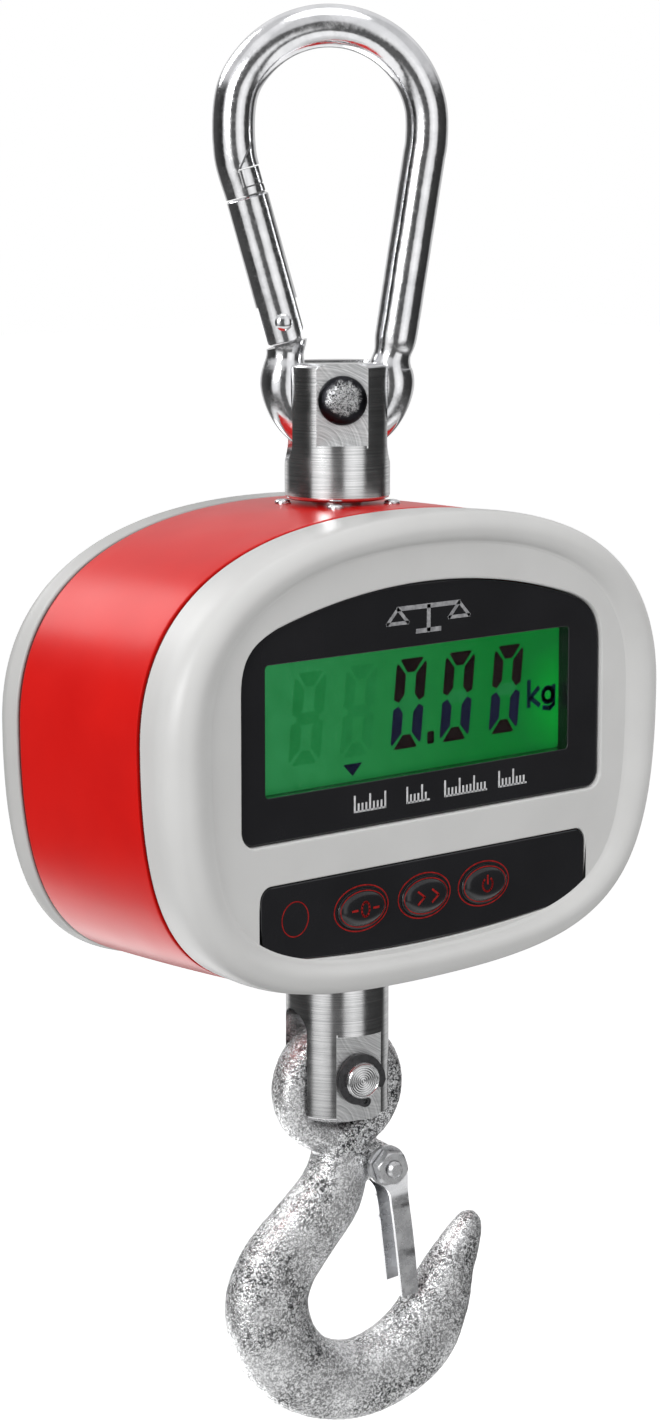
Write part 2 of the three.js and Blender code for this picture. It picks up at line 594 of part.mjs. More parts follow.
place('buzzer', rodY(6, 50, -220, -23.1, -16, 24), DARK_PLASTIC);

// ---------------------------------------------------------------- load cell and power
function loadCell() {
  const outline = roundedRect(-34, 34, -251.1, -135, 6);
  outline.holes.push(roundedRect(-20, 20, ARM_BOTTOM, ARM_TOP, 8));
  const block = plate(outline, -14.5, 14.5, 6);
  const screwHoles = neckScrewSpots.flatMap(([x, y]) => [
    rodZ(1.8, x, y, -142, -130, 8), rodZ(1.8, x, y, -256, -244, 8),
  ]);
  return cut(block, rodZ(STEM_R + 0.6, 0, 0, -260, -130, 24), ...screwHoles);
}
place('load_cell', loadCell(), ALUMINIUM);

function tiePlate(z0, z1) {
  const holes = neckScrewSpots.map(([x, y]) => rodZ(1.8, x, y, z0 - 1, z1 + 1, 8));
  return cut(box([-17, 17], [-17, 17], [z0, z1]), rodZ(STEM_R + 1.2, 0, 0, z0 - 1, z1 + 1, 24), ...holes);
}
place('neck_plate', tiePlate(-134.6, -131.4), STEEL);
place('foot_plate', tiePlate(-254.7, -251.5), STEEL);

const BATTERY = { x: [-80, -41], y: [-17, 18], z: [-222, -168] };
place('battery_pack', box(BATTERY.x, BATTERY.y, BATTERY.z), DARK_PLASTIC);
place('battery_bracket', join(
  box([-81, -37], [-18, 19], [-225, -222.6]),
  box([-40.4, -37], [-18, 19], [-223, -170]),
), STEEL);

function chargeSocket() {
  const barrel = rodY(5.8, SOCKET_X, SOCKET_Z, 29, 40.6, 24);
  const bore = turnedY([[0.9, 33], [2.8, 33], [2.8, 42], [0.9, 42], [0.9, 33]], 16);
  return barrel.subtract(bore.translate([SOCKET_X, 0, SOCKET_Z]));
}
place('charge_socket', chargeSocket(), DARK_PLASTIC);

// ---------------------------------------------------------------- load hook
// Spine stations in the hook's plane: [u, z, width, thickness], eye to tip.
const HOOK_SPINE = [
  [0.8, -311, 17, 12], [0.7, -320, 17, 14], [-2.6, -330.5, 20, 15.5], [-11.6, -341, 21.5, 16.5],
  [-19.8, -350.5, 23.5, 17], [-23.4, -361, 25.2, 17.5], [-20.6, -373.5, 25, 18], [-11.4, -384, 24, 18],
  [2.2, -388.8, 23.4, 18], [16, -386.8, 23.6, 18], [27.6, -379.4, 23.6, 17.5], [34.3, -368.4, 20.2, 15.5],
  [38.3, -359.4, 15.2, 13.4], [41.9, -353, 12, 11], [44.5, -347.8, 9, 8.6], [45.7, -344.6, 5.8, 6],
  [46.2, -343.2, 1.8, 2],
];
const SECTION_SIDES = 14;

function hookRings(steps) {
  const centre = new THREE.CatmullRomCurve3(HOOK_SPINE.map(([u, z]) => new THREE.Vector3(u, 0, z)));
  const size = new THREE.CatmullRomCurve3(HOOK_SPINE.map(([, , w, t], k) => new THREE.Vector3(w, t, k)));
  const corner = (c) => Math.sign(c) * Math.abs(c) ** 0.82;
  const rings = [];
  for (let s = 0; s <= steps; s++) {
    const at = centre.getPoint(s / steps);
    const along = centre.getTangent(s / steps);
    const { x: width, y: thick } = size.getPoint(s / steps);
    const outward = new THREE.Vector3(along.z, 0, -along.x);
    const ring = [];
    for (let k = 0; k < SECTION_SIDES; k++) {
      const angle = (k / SECTION_SIDES) * Math.PI * 2;
      const p = at.clone().addScaledVector(outward, (width / 2) * corner(Math.cos(angle)));
      p.y = (thick / 2) * corner(Math.sin(angle));
      ring.push(p);
    }
    rings.push(ring);
  }
  return rings;
}

function hookEye() {
  const profile = [];
  for (let k = 0; k <= 12; k++) {
    const angle = (k / 12) * Math.PI * 2;
    profile.push([15.5 + 5 * Math.cos(angle), 6 * Math.sin(angle)]);
  }
  return turnedY(profile, 28).translate([0, 0, EYE_HOOK_Z]);
}

function hookBody() {
  const shank = loft(hookRings(30));
  const lug = join(
    rodY(5.6, BOLT_U, BOLT_Z, -4.9, 4.9, 24),
    box([3, BOLT_U], [-4.9, 4.9], [BOLT_Z - 4.5, BOLT_Z + 4.5]),
  );
  return join(shank, hookEye(), lug).subtract(rodY(2.8, BOLT_U, BOLT_Z, -20, 20, 16));
}
place('hook_body', hookBody(), ZINC, lowerGroup);

// ---------------------------------------------------------------- latch
// Sheet channel: two flanges on the bolt, joined by a web on the side of the hook's tip.
const latchDown = new THREE.Vector2(Math.sin(rad(LATCH_LEAN)), -Math.cos(rad(LATCH_LEAN)));
const latchOut = new THREE.Vector2(-latchDown.y, latchDown.x);
const CHEEK = [6.6, 8];           // boss cheeks beside the hook's lug
const CHANNEL_HALF = 5;          // half width of the channel below the lug
const SHEET = 1.2;

function latchPoint(along, out) {
  return new THREE.Vector2(BOLT_U, BOLT_Z).addScaledVector(latchDown, along).addScaledVector(latchOut, out);
}
function polygon(points) {
  return new THREE.Shape(points);
}

// Rectangle rings down the channel: [along, inner edge, outer edge, half width].
function channelLoft(stations) {
  return loft(stations.map(([along, inner, outer, half]) => {
    const corners = [[inner, -half], [outer, -half], [outer, half], [inner, half]];
    return corners.map(([out, y]) => {
      const p = latchPoint(along, out);
      return new THREE.Vector3(p.x, y, p.y);
    });
  }));
}

function latchBody() {
  const wide = CHEEK[1];
  const skin = channelLoft([
    [1, -4.6, 6, wide], [9, -1.4, 6.8, wide], [15, 1.4, 6.9, CHANNEL_HALF],
    [25, 2.1, 6.9, CHANNEL_HALF], [LATCH_LENGTH, 1.3, 5.9, CHANNEL_HALF],
  ]);
  const hollow = channelLoft([
    [-8, -9, 6.9 - SHEET, wide - SHEET], [9, -9, 6.8 - SHEET, wide - SHEET],
    [15, -9, 6.9 - SHEET, CHANNEL_HALF - SHEET], [LATCH_LENGTH + 9, -9, 5.6 - SHEET, CHANNEL_HALF - SHEET],
  ]);
  const cheeks = [[-CHEEK[1], -CHEEK[0]], CHEEK].map(([y0, y1]) => rodY(6, BOLT_U, BOLT_Z, y0, y1, 24));
  const step = LATCH_LENGTH - 3;
  const below = [latchPoint(step, -5), latchPoint(step, 9), latchPoint(60, 9), latchPoint(60, -5)];
  const farEnd = plate(polygon(below), -3, 9);
  const channel = join(skin.subtract(hollow), ...cheeks);
  return cut(channel, farEnd, rodY(2.8, BOLT_U, BOLT_Z, -20, 20, 16));
}

function hexHead(x, z, y0, y1, across) {
  const geometry = new THREE.CylinderGeometry(across / Math.sqrt(3), across / Math.sqrt(3), y1 - y0, 6);
  return solid(geometry.translate(x, (y0 + y1) / 2, z));
}
function latchBolt() {
  const shank = rodY(2.4, BOLT_U, BOLT_Z, -13.6, 9, 18);
  return join(shank, hexHead(BOLT_U, BOLT_Z, CHEEK[1] + GAP, 11.6, 8.4));
}
function latchNut() {
  const nut = hexHead(BOLT_U, BOLT_Z, -11.8, -(CHEEK[1] + GAP), 9.2);
  return nut.subtract(rodY(2.7, BOLT_U, BOLT_Z, -20, 0, 18));
}
function latchSpring() {
  const coil = turnedY([[3.1, 5.2], [4.3, 5.2], [4.3, 6.3], [3.1, 6.3], [3.1, 5.2]], 20);
  const leg = polygon([latchPoint(2.5, 1.6), latchPoint(9, 3.2), latchPoint(9, 4.2), latchPoint(2.5, 2.8)]);
  return join(coil.translate([BOLT_U, 0, BOLT_Z]), plate(leg, 5.3, 6.2));
}
place('latch', latchBody(), ZINC, lowerGroup);
place('latch_bolt', latchBolt(), ZINC, lowerGroup);
place('latch_nut', latchNut(), ZINC, lowerGroup);
place('latch_spring', latchSpring(), STEEL, lowerGroup);

export default scale;
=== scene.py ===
"""Looks of the hanging crane scale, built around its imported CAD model.

Lengths in the mesh code are in millimetres in the part's frame and become metres in new_mesh().
Materials measure in metres, and so do the lamps.
Pieces of the snap hook and upper clevis are built in their own plane and turned by
UPPER_TURN, those of the load hook and lower clevis by LOWER_TURN.
"""
import math

import bmesh
import bpy
import numpy as np
from mathutils import Matrix, Vector, geometry


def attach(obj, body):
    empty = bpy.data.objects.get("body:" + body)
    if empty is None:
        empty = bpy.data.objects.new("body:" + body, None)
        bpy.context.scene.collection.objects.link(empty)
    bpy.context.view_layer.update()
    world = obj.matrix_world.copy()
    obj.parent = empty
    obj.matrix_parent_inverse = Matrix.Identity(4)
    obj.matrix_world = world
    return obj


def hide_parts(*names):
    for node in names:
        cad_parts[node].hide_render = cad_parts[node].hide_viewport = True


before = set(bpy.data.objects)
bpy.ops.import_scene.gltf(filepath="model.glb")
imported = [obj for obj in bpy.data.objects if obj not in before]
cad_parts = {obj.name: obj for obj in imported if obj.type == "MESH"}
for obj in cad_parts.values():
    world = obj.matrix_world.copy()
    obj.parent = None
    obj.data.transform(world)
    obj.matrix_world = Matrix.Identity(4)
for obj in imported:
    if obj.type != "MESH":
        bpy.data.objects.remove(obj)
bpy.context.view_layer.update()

MM = 0.001
UPPER_TURN = -37.0
LOWER_TURN = -14.66
CAMERA_AZIMUTH = -42.958
CAMERA_ELEVATION = 9.116


# ------------------------------------------------------------------ node trees
class Nodes:
    """Short calls that add and join the nodes of one tree."""

    def __init__(self, tree):
        self.tree = tree

    def node(self, kind, **settings):
        made = self.tree.nodes.new(kind)
        for key, value in settings.items():
            setattr(made, key, value)
        return made

    def link(self, source, target):
        self.tree.links.new(source, target)

    def math(self, operation, a, b=None, clamp=False):
        made = self.node("ShaderNodeMath", operation=operation, use_clamp=clamp)
        for socket, value in zip(made.inputs, (a, b)):
            if value is None:
                continue
            if isinstance(value, (int, float)):
                socket.default_value = value
            else:
                self.link(value, socket)
        return made.outputs[0]

    def range(self, source, low, high, to_low, to_high, blend="LINEAR"):
        made = self.node("ShaderNodeMapRange", interpolation_type=blend)
        self.link(source, made.inputs["Value"])
        for key, value in zip(("From Min", "From Max", "To Min", "To Max"), (low, high, to_low, to_high)):
            made.inputs[key].default_value = value
        return made.outputs["Result"]

    def mix(self, factor, a, b):
        made = self.node("ShaderNodeMix", data_type="RGBA")
        self.link(factor, made.inputs["Factor"])
        for socket, value in ((made.inputs["A"], a), (made.inputs["B"], b)):
            if isinstance(value, tuple):
                socket.default_value = (*value, 1)
            else:
                self.link(value, socket)
        return made.outputs["Result"]

    def greys(self, source, stops):
        """Colour ramp through pairs of position from 0 to 1 and grey level."""
        made = self.node("ShaderNodeValToRGB")
        self.link(source, made.inputs["Fac"])
        elements = made.color_ramp.elements
        while len(elements) < len(stops):
            elements.new(0.5)
        for element, (position, level) in zip(elements, stops):
            element.position, element.color = position, (level, level, level, 1)
        return made.outputs["Color"]


class Surface(Nodes):
    """A Principled material whose pattern is in object coordinates."""

    def __init__(self, name, color, roughness, metallic=0.0, **sockets):
        self.material = bpy.data.materials.new(name)
        self.material.use_nodes = True
        super().__init__(self.material.node_tree)
        self.shader = self.tree.nodes["Principled BSDF"]
        self.shader.inputs["Base Color"].default_value = (*color, 1)
        self.shader.inputs["Roughness"].default_value = roughness
        self.shader.inputs["Metallic"].default_value = metallic
        for socket, value in sockets.items():
            self.shader.inputs[socket.replace("_", " ")].default_value = value
        self.place = self.node("ShaderNodeTexCoord").outputs["Object"]

    def feed(self, socket, source):
        self.link(source, self.shader.inputs[socket])

    def tint(self, source, low, high, dark, light):
        """Base colour that runs from dark to light as the source runs from low to high."""
        self.feed("Base Color", self.mix(self.range(source, low, high, 0, 1), dark, light))

    def matt(self, source, low, high, least, most):
        """Roughness that runs from least to most as the source runs from low to high."""
        self.feed("Roughness", self.range(source, low, high, least, most))

    def stretched(self, x, y, z, turn=0.0, offset=(0, 0, 0)):
        """Object coordinates in metres, shifted, turned about Z and scaled along each axis."""
        shift = self.node("ShaderNodeVectorMath", operation="SUBTRACT")
        self.link(self.place, shift.inputs[0])
        shift.inputs[1].default_value = [c * MM for c in offset]
        turned = self.node("ShaderNodeMapping")
        turned.inputs["Rotation"].default_value = (0, 0, math.radians(-turn))
        self.link(shift.outputs[0], turned.inputs["Vector"])
        scaled = self.node("ShaderNodeVectorMath", operation="MULTIPLY")
        self.link(turned.outputs[0], scaled.inputs[0])
        scaled.inputs[1].default_value = (x, y, z)
        return scaled.outputs[0]

    def noise(self, scale, detail=3.0, rough=0.5, where=None, distortion=0.0):
        texture = self.node("ShaderNodeTexNoise")
        texture.inputs["Scale"].default_value = scale
        texture.inputs["Detail"].default_value = detail
        texture.inputs["Roughness"].default_value = rough
        texture.inputs["Distortion"].default_value = distortion
        self.link(where or self.place, texture.inputs["Vector"])
        return texture.outputs["Fac"]

    def bump(self, height, distance_mm, strength=1.0, over=None):
        made = self.node("ShaderNodeBump")
        made.inputs["Strength"].default_value = strength
        made.inputs["Distance"].default_value = distance_mm * MM
        self.link(height, made.inputs["Height"])
        if over is not None:
            self.link(over, made.inputs["Normal"])
        return made.outputs["Normal"]

    def axis(self, index, where=None):
        split = self.node("ShaderNodeSeparateXYZ")
        self.link(where or self.place, split.inputs[0])
        return split.outputs[index]

    def radius_from(self, centre_mm, axis_index, turn=0.0):
        """Distance in metres from a line through centre along the (turned) axis."""
        flat = [1, 1, 1]
        flat[axis_index] = 0
        where = self.stretched(*flat, turn=turn, offset=centre_mm)
        length = self.node("ShaderNodeVectorMath", operation="LENGTH")
        self.link(where, length.inputs[0])
        return length.outputs["Value"]

    def line_noise(self, radius, scale, detail=4.0):
        """Concentric marks: noise that changes with radius only."""
        join = self.node("ShaderNodeCombineXYZ")
        self.link(radius, join.inputs[0])
        return self.noise(scale, detail, 0.7, where=join.outputs[0])


def chrome():
    s = Surface("chrome", (0.86, 0.865, 0.88), 0.1, 1.0)
    cloud = s.noise(120, 3)
    grain = s.noise(2600, 2)
    pits = s.noise(900, 4, 0.65)
    s.tint(cloud, 0.35, 0.7, (0.90, 0.90, 0.915), (0.74, 0.745, 0.76))
    s.matt(pits, 0.35, 0.75, 0.07, 0.26)
    waves = s.bump(cloud, 0.35, 0.35)
    s.feed("Normal", s.bump(grain, 0.006, 0.8, over=s.bump(pits, 0.02, 0.5, over=waves)))
    return s.material


def turned_steel(turn):
    s = Surface("turned_steel", (0.66, 0.665, 0.67), 0.2, 1.0)
    marks = s.noise(1, 4, 0.65, where=s.stretched(40, 40, 4200, turn))
    broad = s.noise(1, 3, 0.6, where=s.stretched(25, 25, 900, turn))
    stain = s.noise(160, 4, 0.6)
    s.tint(marks, 0.36, 0.62, (0.58, 0.585, 0.59), (0.86, 0.86, 0.865))
    s.matt(stain, 0.3, 0.75, 0.14, 0.26)
    s.feed("Normal", s.bump(marks, 0.012, 0.6, over=s.bump(broad, 0.02, 0.35)))
    return s.material


def milled_steel(turn, height):
    """Flats with arced cutter marks."""
    s = Surface("milled_steel", (0.58, 0.585, 0.59), 0.36, 1.0)
    cutter = s.radius_from((-9, 0, height - 14), 1, turn)
    arcs = s.line_noise(cutter, 1500, 5)
    other = s.line_noise(s.radius_from((14, 0, height + 22), 1, turn), 1100, 5)
    grain = s.noise(1800, 3)
    both = s.math("ADD", s.math("MULTIPLY", arcs, 0.6), s.math("MULTIPLY", other, 0.4))
    s.tint(both, 0.40, 0.60, (0.42, 0.425, 0.43), (0.97, 0.975, 0.98))
    s.matt(grain, 0.3, 0.7, 0.34, 0.52)
    s.feed("Normal", s.bump(both, 0.24, 1.0, over=s.bump(grain, 0.03, 0.7)))
    return s.material


def faced_steel(turn, height):
    """Lathe-faced pin end: fine rings about the pin's axis."""
    s = Surface("faced_steel", (0.75, 0.755, 0.76), 0.22, 1.0)
    radius = s.radius_from((0, 0, height), 1, turn)
    rings = s.node("ShaderNodeMath", operation="SINE")
    s.link(s.math("MULTIPLY", radius, 9500), rings.inputs[0])
    fine = s.line_noise(radius, 6000, 3)
    s.tint(rings.outputs[0], -0.6, 0.8, (0.50, 0.505, 0.51), (0.92, 0.92, 0.925))
    s.matt(s.noise(900), 0.3, 0.7, 0.16, 0.3)
    s.feed("Normal", s.bump(rings.outputs[0], 0.05, 0.9, over=s.bump(fine, 0.01, 0.5)))
    return s.material


def zinc_plate():
    s = Surface("zinc_plate", (0.72, 0.725, 0.735), 0.26, 1.0)
    drawn = s.noise(1, 4, 0.6, where=s.stretched(900, 900, 60))
    blotch = s.noise(260, 4, 0.65)
    s.tint(blotch, 0.3, 0.72, (0.58, 0.585, 0.60), (0.82, 0.825, 0.835))
    s.matt(blotch, 0.3, 0.75, 0.18, 0.4)
    s.feed("Normal", s.bump(drawn, 0.02, 0.55, over=s.bump(s.noise(1500), 0.012, 0.6)))
    return s.material


def forged_zinc():
    """Rough forging under bright zinc: sharp salt-and-pepper grain over soft dents."""
    s = Surface("forged_zinc", (0.86, 0.865, 0.875), 0.26, 0.86)
    grain = s.noise(1300, 4, 0.75, distortion=1.0)
    coarse = s.noise(520, 3, 0.55)
    patch = s.noise(70, 3, 0.55)
    rough_here = s.range(patch, 0.40, 0.60, 0.5, 1.0)
    grit = s.math("MULTIPLY", grain, rough_here)
    speck = s.math("MULTIPLY", s.range(grain, 0.475, 0.53, 1, 0), rough_here, clamp=True)
    s.feed("Base Color", s.mix(speck, (0.98, 0.985, 0.995), (0.035, 0.036, 0.038)))
    s.matt(patch, 0.35, 0.7, 0.18, 0.32)
    s.feed("Normal", s.bump(grit, 0.34, 1.0, over=s.bump(coarse, 0.14, 0.6)))
    return s.material


def black_steel():
    s = Surface("black_steel", (0.012, 0.012, 0.014), 0.3, 0.0, Coat_Weight=0.3)
    cloud = s.noise(700, 4, 0.6)
    s.tint(cloud, 0.35, 0.75, (0.010, 0.010, 0.012), (0.035, 0.035, 0.038))
    s.matt(cloud, 0.3, 0.7, 0.22, 0.42)
    s.feed("Normal", s.bump(s.noise(1600, 3), 0.02, 0.5))
    return s.material


def worn_black_steel(turn, height, wear_mm):
    """Blackened pin head whose crown is scuffed back to bright steel."""
    s = Surface("worn_black_steel", (0.02, 0.02, 0.022), 0.3, 1.0)
    radius = s.radius_from((0.2, 0, height + 0.6), 1, turn)
    ragged = s.math("ADD", radius, s.math("MULTIPLY", s.noise(420, 4, 0.7), 0.0042))
    bare = s.range(ragged, wear_mm * MM, (wear_mm + 1.5) * MM, 1, 0)
    scratch = s.noise(1500, 4, 0.75, distortion=1.5)
    worn = s.math("MULTIPLY", bare, s.range(scratch, 0.42, 0.56, 0.0, 1), clamp=True)
    s.feed("Base Color", s.mix(worn, (0.020, 0.020, 0.023), (0.66, 0.665, 0.67)))
    s.matt(worn, 0, 1, 0.24, 0.42)
    s.feed("Normal", s.bump(scratch, 0.09, 0.9))
    return s.material


def plastic(name, low, high, roughness, grain_mm=0.008, **sockets):
    s = Surface(name, high, roughness, 0.0, **sockets)
    cloud = s.noise(40, 3, 0.5)
    grain = s.noise(2600, 2, 0.5)
    s.tint(cloud, 0.3, 0.7, low, high)
    s.matt(s.noise(60, 1), 0.2, 0.8, roughness - 0.02, roughness + 0.03)
    s.feed("Normal", s.bump(grain, grain_mm, 0.6))
    return s.material


UNLIT_GREEN, CELL_GLOW = (0.002, 0.01, 0.005), 0.72


def lit_display():
    """Backlit green cell, hazier at the left and hottest at the lamp on the right."""
    s = Surface("lit_display", UNLIT_GREEN, 0.4, Emission_Strength=CELL_GLOW, Specular_IOR_Level=0.0)
    along = s.range(s.axis(0), -0.058, 0.058, 0, 1)
    haze = s.mix(s.range(along, 0.1, 0.75, 0, 1), (0.036, 0.285, 0.090), (0.006, 0.210, 0.030))
    lamp = s.radius_from((57, 0, -186), 1)
    hot = s.mix(s.range(lamp, 0.002, 0.017, 0.75, 0), haze, (0.003, 0.46, 0.035))
    mottle = s.noise(170, 4, 0.6)
    shade = s.mix(s.range(mottle, 0.3, 0.75, 0.0, 0.32), hot, (0.004, 0.14, 0.022))
    up = s.range(s.axis(2), -0.2005, -0.1655, 0, 1)
    rim = s.math("MULTIPLY", s.range(up, 0, 0.07, 0.6, 0), 0.8, clamp=True)
    s.feed("Emission Color", s.mix(rim, shade, (0.002, 0.10, 0.016)))
    return s.material


def ink(name, low, high, glow=0.0):
    s = Surface(name, high, 0.45, 0.0, Specular_IOR_Level=0.02)
    s.tint(s.noise(900, 3), 0.35, 0.65, low, high)
    if glow:
        s.shader.inputs["Emission Color"].default_value = (*high, 1)
        s.shader.inputs["Emission Strength"].default_value = glow
    return s.material


def idle_cell():
    """Unlit segments: a shade under the lit cell around them."""
    s = Surface("idle_segment", UNLIT_GREEN, 0.4, Emission_Strength=CELL_GLOW, Specular_IOR_Level=0.0)
    mottle = s.range(s.noise(170, 4, 0.6), 0.3, 0.75, 0, 1)
    s.feed("Emission Color", s.mix(mottle, (0.021, 0.232, 0.062), (0.014, 0.19, 0.045)))
    return s.material


def clear_lens():
    s = Surface("clear_lens", (0.97, 1.0, 0.985), 0.03, 0.0, Transmission_Weight=1.0, IOR=1.06)
    s.matt(s.noise(500, 3), 0.3, 0.7, 0.01, 0.05)
    return s.material


CHROME = chrome()
ZINC = zinc_plate()
FORGED = forged_zinc()
BLACK_STEEL = black_steel()
RED = plastic("red_plastic", (0.610, 0.0034, 0.0018), (0.680, 0.0056, 0.0028), 0.31, Specular_IOR_Level=0.3)
LIGHT = plastic("light_plastic", (0.600, 0.598, 0.590), (0.640, 0.638, 0.630), 0.42)
# A darker copy of the light plastic, for the back cover only: painted shade.
REAR_PAINTED_SHADE = plastic("light_plastic_painted_shade", (0.490, 0.488, 0.480), (0.530, 0.528, 0.520), 0.45)
RUBBER = plastic("seal_rubber", (0.075, 0.002, 0.002), (0.12, 0.004, 0.003), 0.6, 0.02)
GLOSS = plastic("black_gloss", (0.0135, 0.0135, 0.0150), (0.0175, 0.0175, 0.0195), 0.17, 0.0015)
DARK = plastic("dark_plastic", (0.010, 0.010, 0.011), (0.020, 0.020, 0.022), 0.5, 0.02)
DISPLAY = lit_display()
SEGMENT = ink("segment_ink", (0.007, 0.0035, 0.004), (0.012, 0.005, 0.006))
SEGMENT_LOW = ink("segment_ink_low", (0.006, 0.007, 0.020), (0.009, 0.010, 0.032))
UNIT_INK = ink("unit_ink", (0.002, 0.012, 0.020), (0.003, 0.020, 0.030))
RED_INK = ink("red_ink", (0.22, 0.010, 0.010), (0.36, 0.018, 0.016))
IDLE = idle_cell()
PALE_INK = ink("pale_ink", (0.52, 0.52, 0.53), (0.72, 0.72, 0.73))
GREY_INK = ink("grey_ink", (0.22, 0.22, 0.23), (0.36, 0.36, 0.37))
LENS = clear_lens()


# ------------------------------------------------------------------ mesh building
STRAIGHT = Matrix.Identity(4)
UPPER = Matrix.Rotation(math.radians(UPPER_TURN), 4, "Z")
LOWER = Matrix.Rotation(math.radians(LOWER_TURN), 4, "Z")


def shift(x, y, z):
    return Matrix.Translation((x, y, z))


def turned_y(degrees):
    return Matrix.Rotation(math.radians(degrees), 4, "Y")


def full_turn(steps):
    return np.linspace(0, 2 * math.pi, steps, endpoint=False)


def new_mesh(name, points, faces, place=STRAIGHT):
    mesh = bpy.data.meshes.new(name)
    mesh.from_pydata([(place @ Vector(p)) * MM for p in points], [], faces)
    made = bpy.data.objects.new(name, mesh)
    bpy.context.scene.collection.objects.link(made)
    tidy = bmesh.new()
    tidy.from_mesh(mesh)
    bmesh.ops.recalc_face_normals(tidy, faces=tidy.faces)
    tidy.to_mesh(mesh)
    tidy.free()
    return made


def loft(name, rings, place=STRAIGHT, looped=False):
    """Rings of equally many points joined into a skin; open ends are capped."""
    count = len(rings[0])
    points = [p for ring in rings for p in ring]
    faces = []
    last = len(rings) if looped else len(rings) - 1
    for r in range(last):
        here, there = r * count, ((r + 1) % len(rings)) * count
        for k in range(count):
            n = (k + 1) % count
            faces.append((here + k, here + n, there + n, there + k))
    if not looped:
        faces.append(tuple(range(count))[::-1])
        faces.append(tuple((len(rings) - 1) * count + k for k in range(count)))
    return new_mesh(name, points, faces, place)


def turned(name, profile, place=STRAIGHT, sides=96, axis="Z", looped=False):
    """Profile points are (radius, height) about the given axis."""
    rings = []
    for radius, height in profile:
        ring = []
        for k in range(sides):
            a = 2 * math.pi * k / sides
            x, y = max(radius, 0.001) * math.cos(a), max(radius, 0.001) * math.sin(a)
            ring.append({"Z": (x, y, height), "Y": (x, height, y), "X": (height, x, y)}[axis])
        rings.append(ring)
    return loft(name, rings, place, looped)


def block(name, xs, ys, zs, place=STRAIGHT):
    rings = [[(x, y, z) for x, y in ((xs[0], ys[0]), (xs[1], ys[0]), (xs[1], ys[1]), (xs[0], ys[1]))]
             for z in zs]
    return loft(name, rings, place)


def prism(name, outline, y0, y1, place=STRAIGHT):
    """A flat outline in X and Z given thickness from y0 to y1."""
    return loft(name, [[(x, y, z) for x, z in outline] for y in (y0, y1)], place)


def rod(name, radius, low, high, place=STRAIGHT, axis="Z", sides=64):
    return turned(name, [(radius, low), (radius, high)], place, sides, axis)


def bake(piece):
    bpy.context.view_layer.update()
    seen = piece.evaluated_get(bpy.context.evaluated_depsgraph_get())
    mesh = bpy.data.meshes.new_from_object(seen)
    piece.modifiers.clear()
    piece.data = mesh


def combine(piece, operation, tools):
    for tool in tools:
        step = piece.modifiers.new("step", "BOOLEAN")
        step.operation, step.object, step.solver = operation, tool, "EXACT"
    bake(piece)
    for tool in tools:
        bpy.data.objects.remove(tool)
    return piece


def cut(piece, *tools):
    return combine(piece, "DIFFERENCE", tools)


def fuse(piece, *tools):
    return combine(piece, "UNION", tools)


def soften(piece, width_mm, segments=2, angle=32):
    step = piece.modifiers.new("edge", "BEVEL")
    step.width, step.segments = width_mm * MM, segments
    step.limit_method, step.angle_limit = "ANGLE", math.radians(angle)
    step.use_clamp_overlap = True
    bake(piece)
    return piece


def smooth(piece, angle=40, weighted=True):
    piece.data.polygons.foreach_set("use_smooth", [True] * len(piece.data.polygons))
    piece.data.set_sharp_from_angle(angle=math.radians(angle))
    if weighted:
        step = piece.modifiers.new("normals", "WEIGHTED_NORMAL")
        step.weight, step.keep_sharp = 80, True
        bake(piece)
    return piece


def fit(piece, body, slot, *materials, stands_for=()):
    """Dress a finished piece and hang it on its CAD body."""
    for material in materials:
        piece.data.materials.append(material)
    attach(piece, body)
    if stands_for:
        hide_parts(*stands_for)
    return piece


def curve_through(points, steps, alpha=0.5):
    """Catmull-Rom through rows of numbers, steps samples for every gap."""
    pts = [np.array(p, float) for p in points]
    pts = [2 * pts[0] - pts[1], *pts, 2 * pts[-1] - pts[-2]]
    out = []
    for i in range(1, len(pts) - 2):
        p = pts[i - 1:i + 3]
        t = [0.0]
        for a, b in zip(p, p[1:]):
            t.append(t[-1] + max(float(np.linalg.norm(b - a)), 1e-6) ** alpha)
        for s in range(steps):
            x = t[1] + (t[2] - t[1]) * s / steps
            a1, a2, a3 = (((t[k + 1] - x) * p[k] + (x - t[k]) * p[k + 1]) / (t[k + 1] - t[k])
                          for k in range(3))
            b1 = ((t[2] - x) * a1 + (x - t[0]) * a2) / (t[2] - t[0])
            b2 = ((t[3] - x) * a2 + (x - t[1]) * a3) / (t[3] - t[1])
            out.append(((t[2] - x) * b1 + (x - t[1]) * b2) / (t[2] - t[1]))
    return out + [pts[-2]]


def directions(points):
    lines = np.gradient(np.array(points)[:, :2], axis=0)
    return lines / np.linalg.norm(lines, axis=1)[:, None]


# ------------------------------------------------------------------ snap hook
WIRE_R, BOW_R, EYE_R, EYE_Z = 6.0, 27.6, 15.5, -92.6


def leaning(degrees):
    return np.array([math.sin(math.radians(degrees)), math.cos(math.radians(degrees))])


def on_circle(centre, radius, degrees):
    a = math.radians(degrees)
    return np.array([centre[0] + radius * math.cos(a), centre[1] + radius * math.sin(a)])


GATE_UP, SPINE_UP = leaning(-15.5), leaning(8.8)
GATE_IN = np.array([GATE_UP[1], -GATE_UP[0]])
ARCH = np.array([-2.2, WIRE_R - BOW_R])
GATE_TANGENT = ARCH - GATE_IN * BOW_R
SPINE_TANGENT = ARCH + BOW_R * np.array([SPINE_UP[1], -SPINE_UP[0]])


def side_at(tangent, up, z):
    return tangent + up * ((z - tangent[1]) / up[1])


NOSE = side_at(GATE_TANGENT, GATE_UP, -40.6)
HINGE = side_at(GATE_TANGENT, GATE_UP, -75.8)


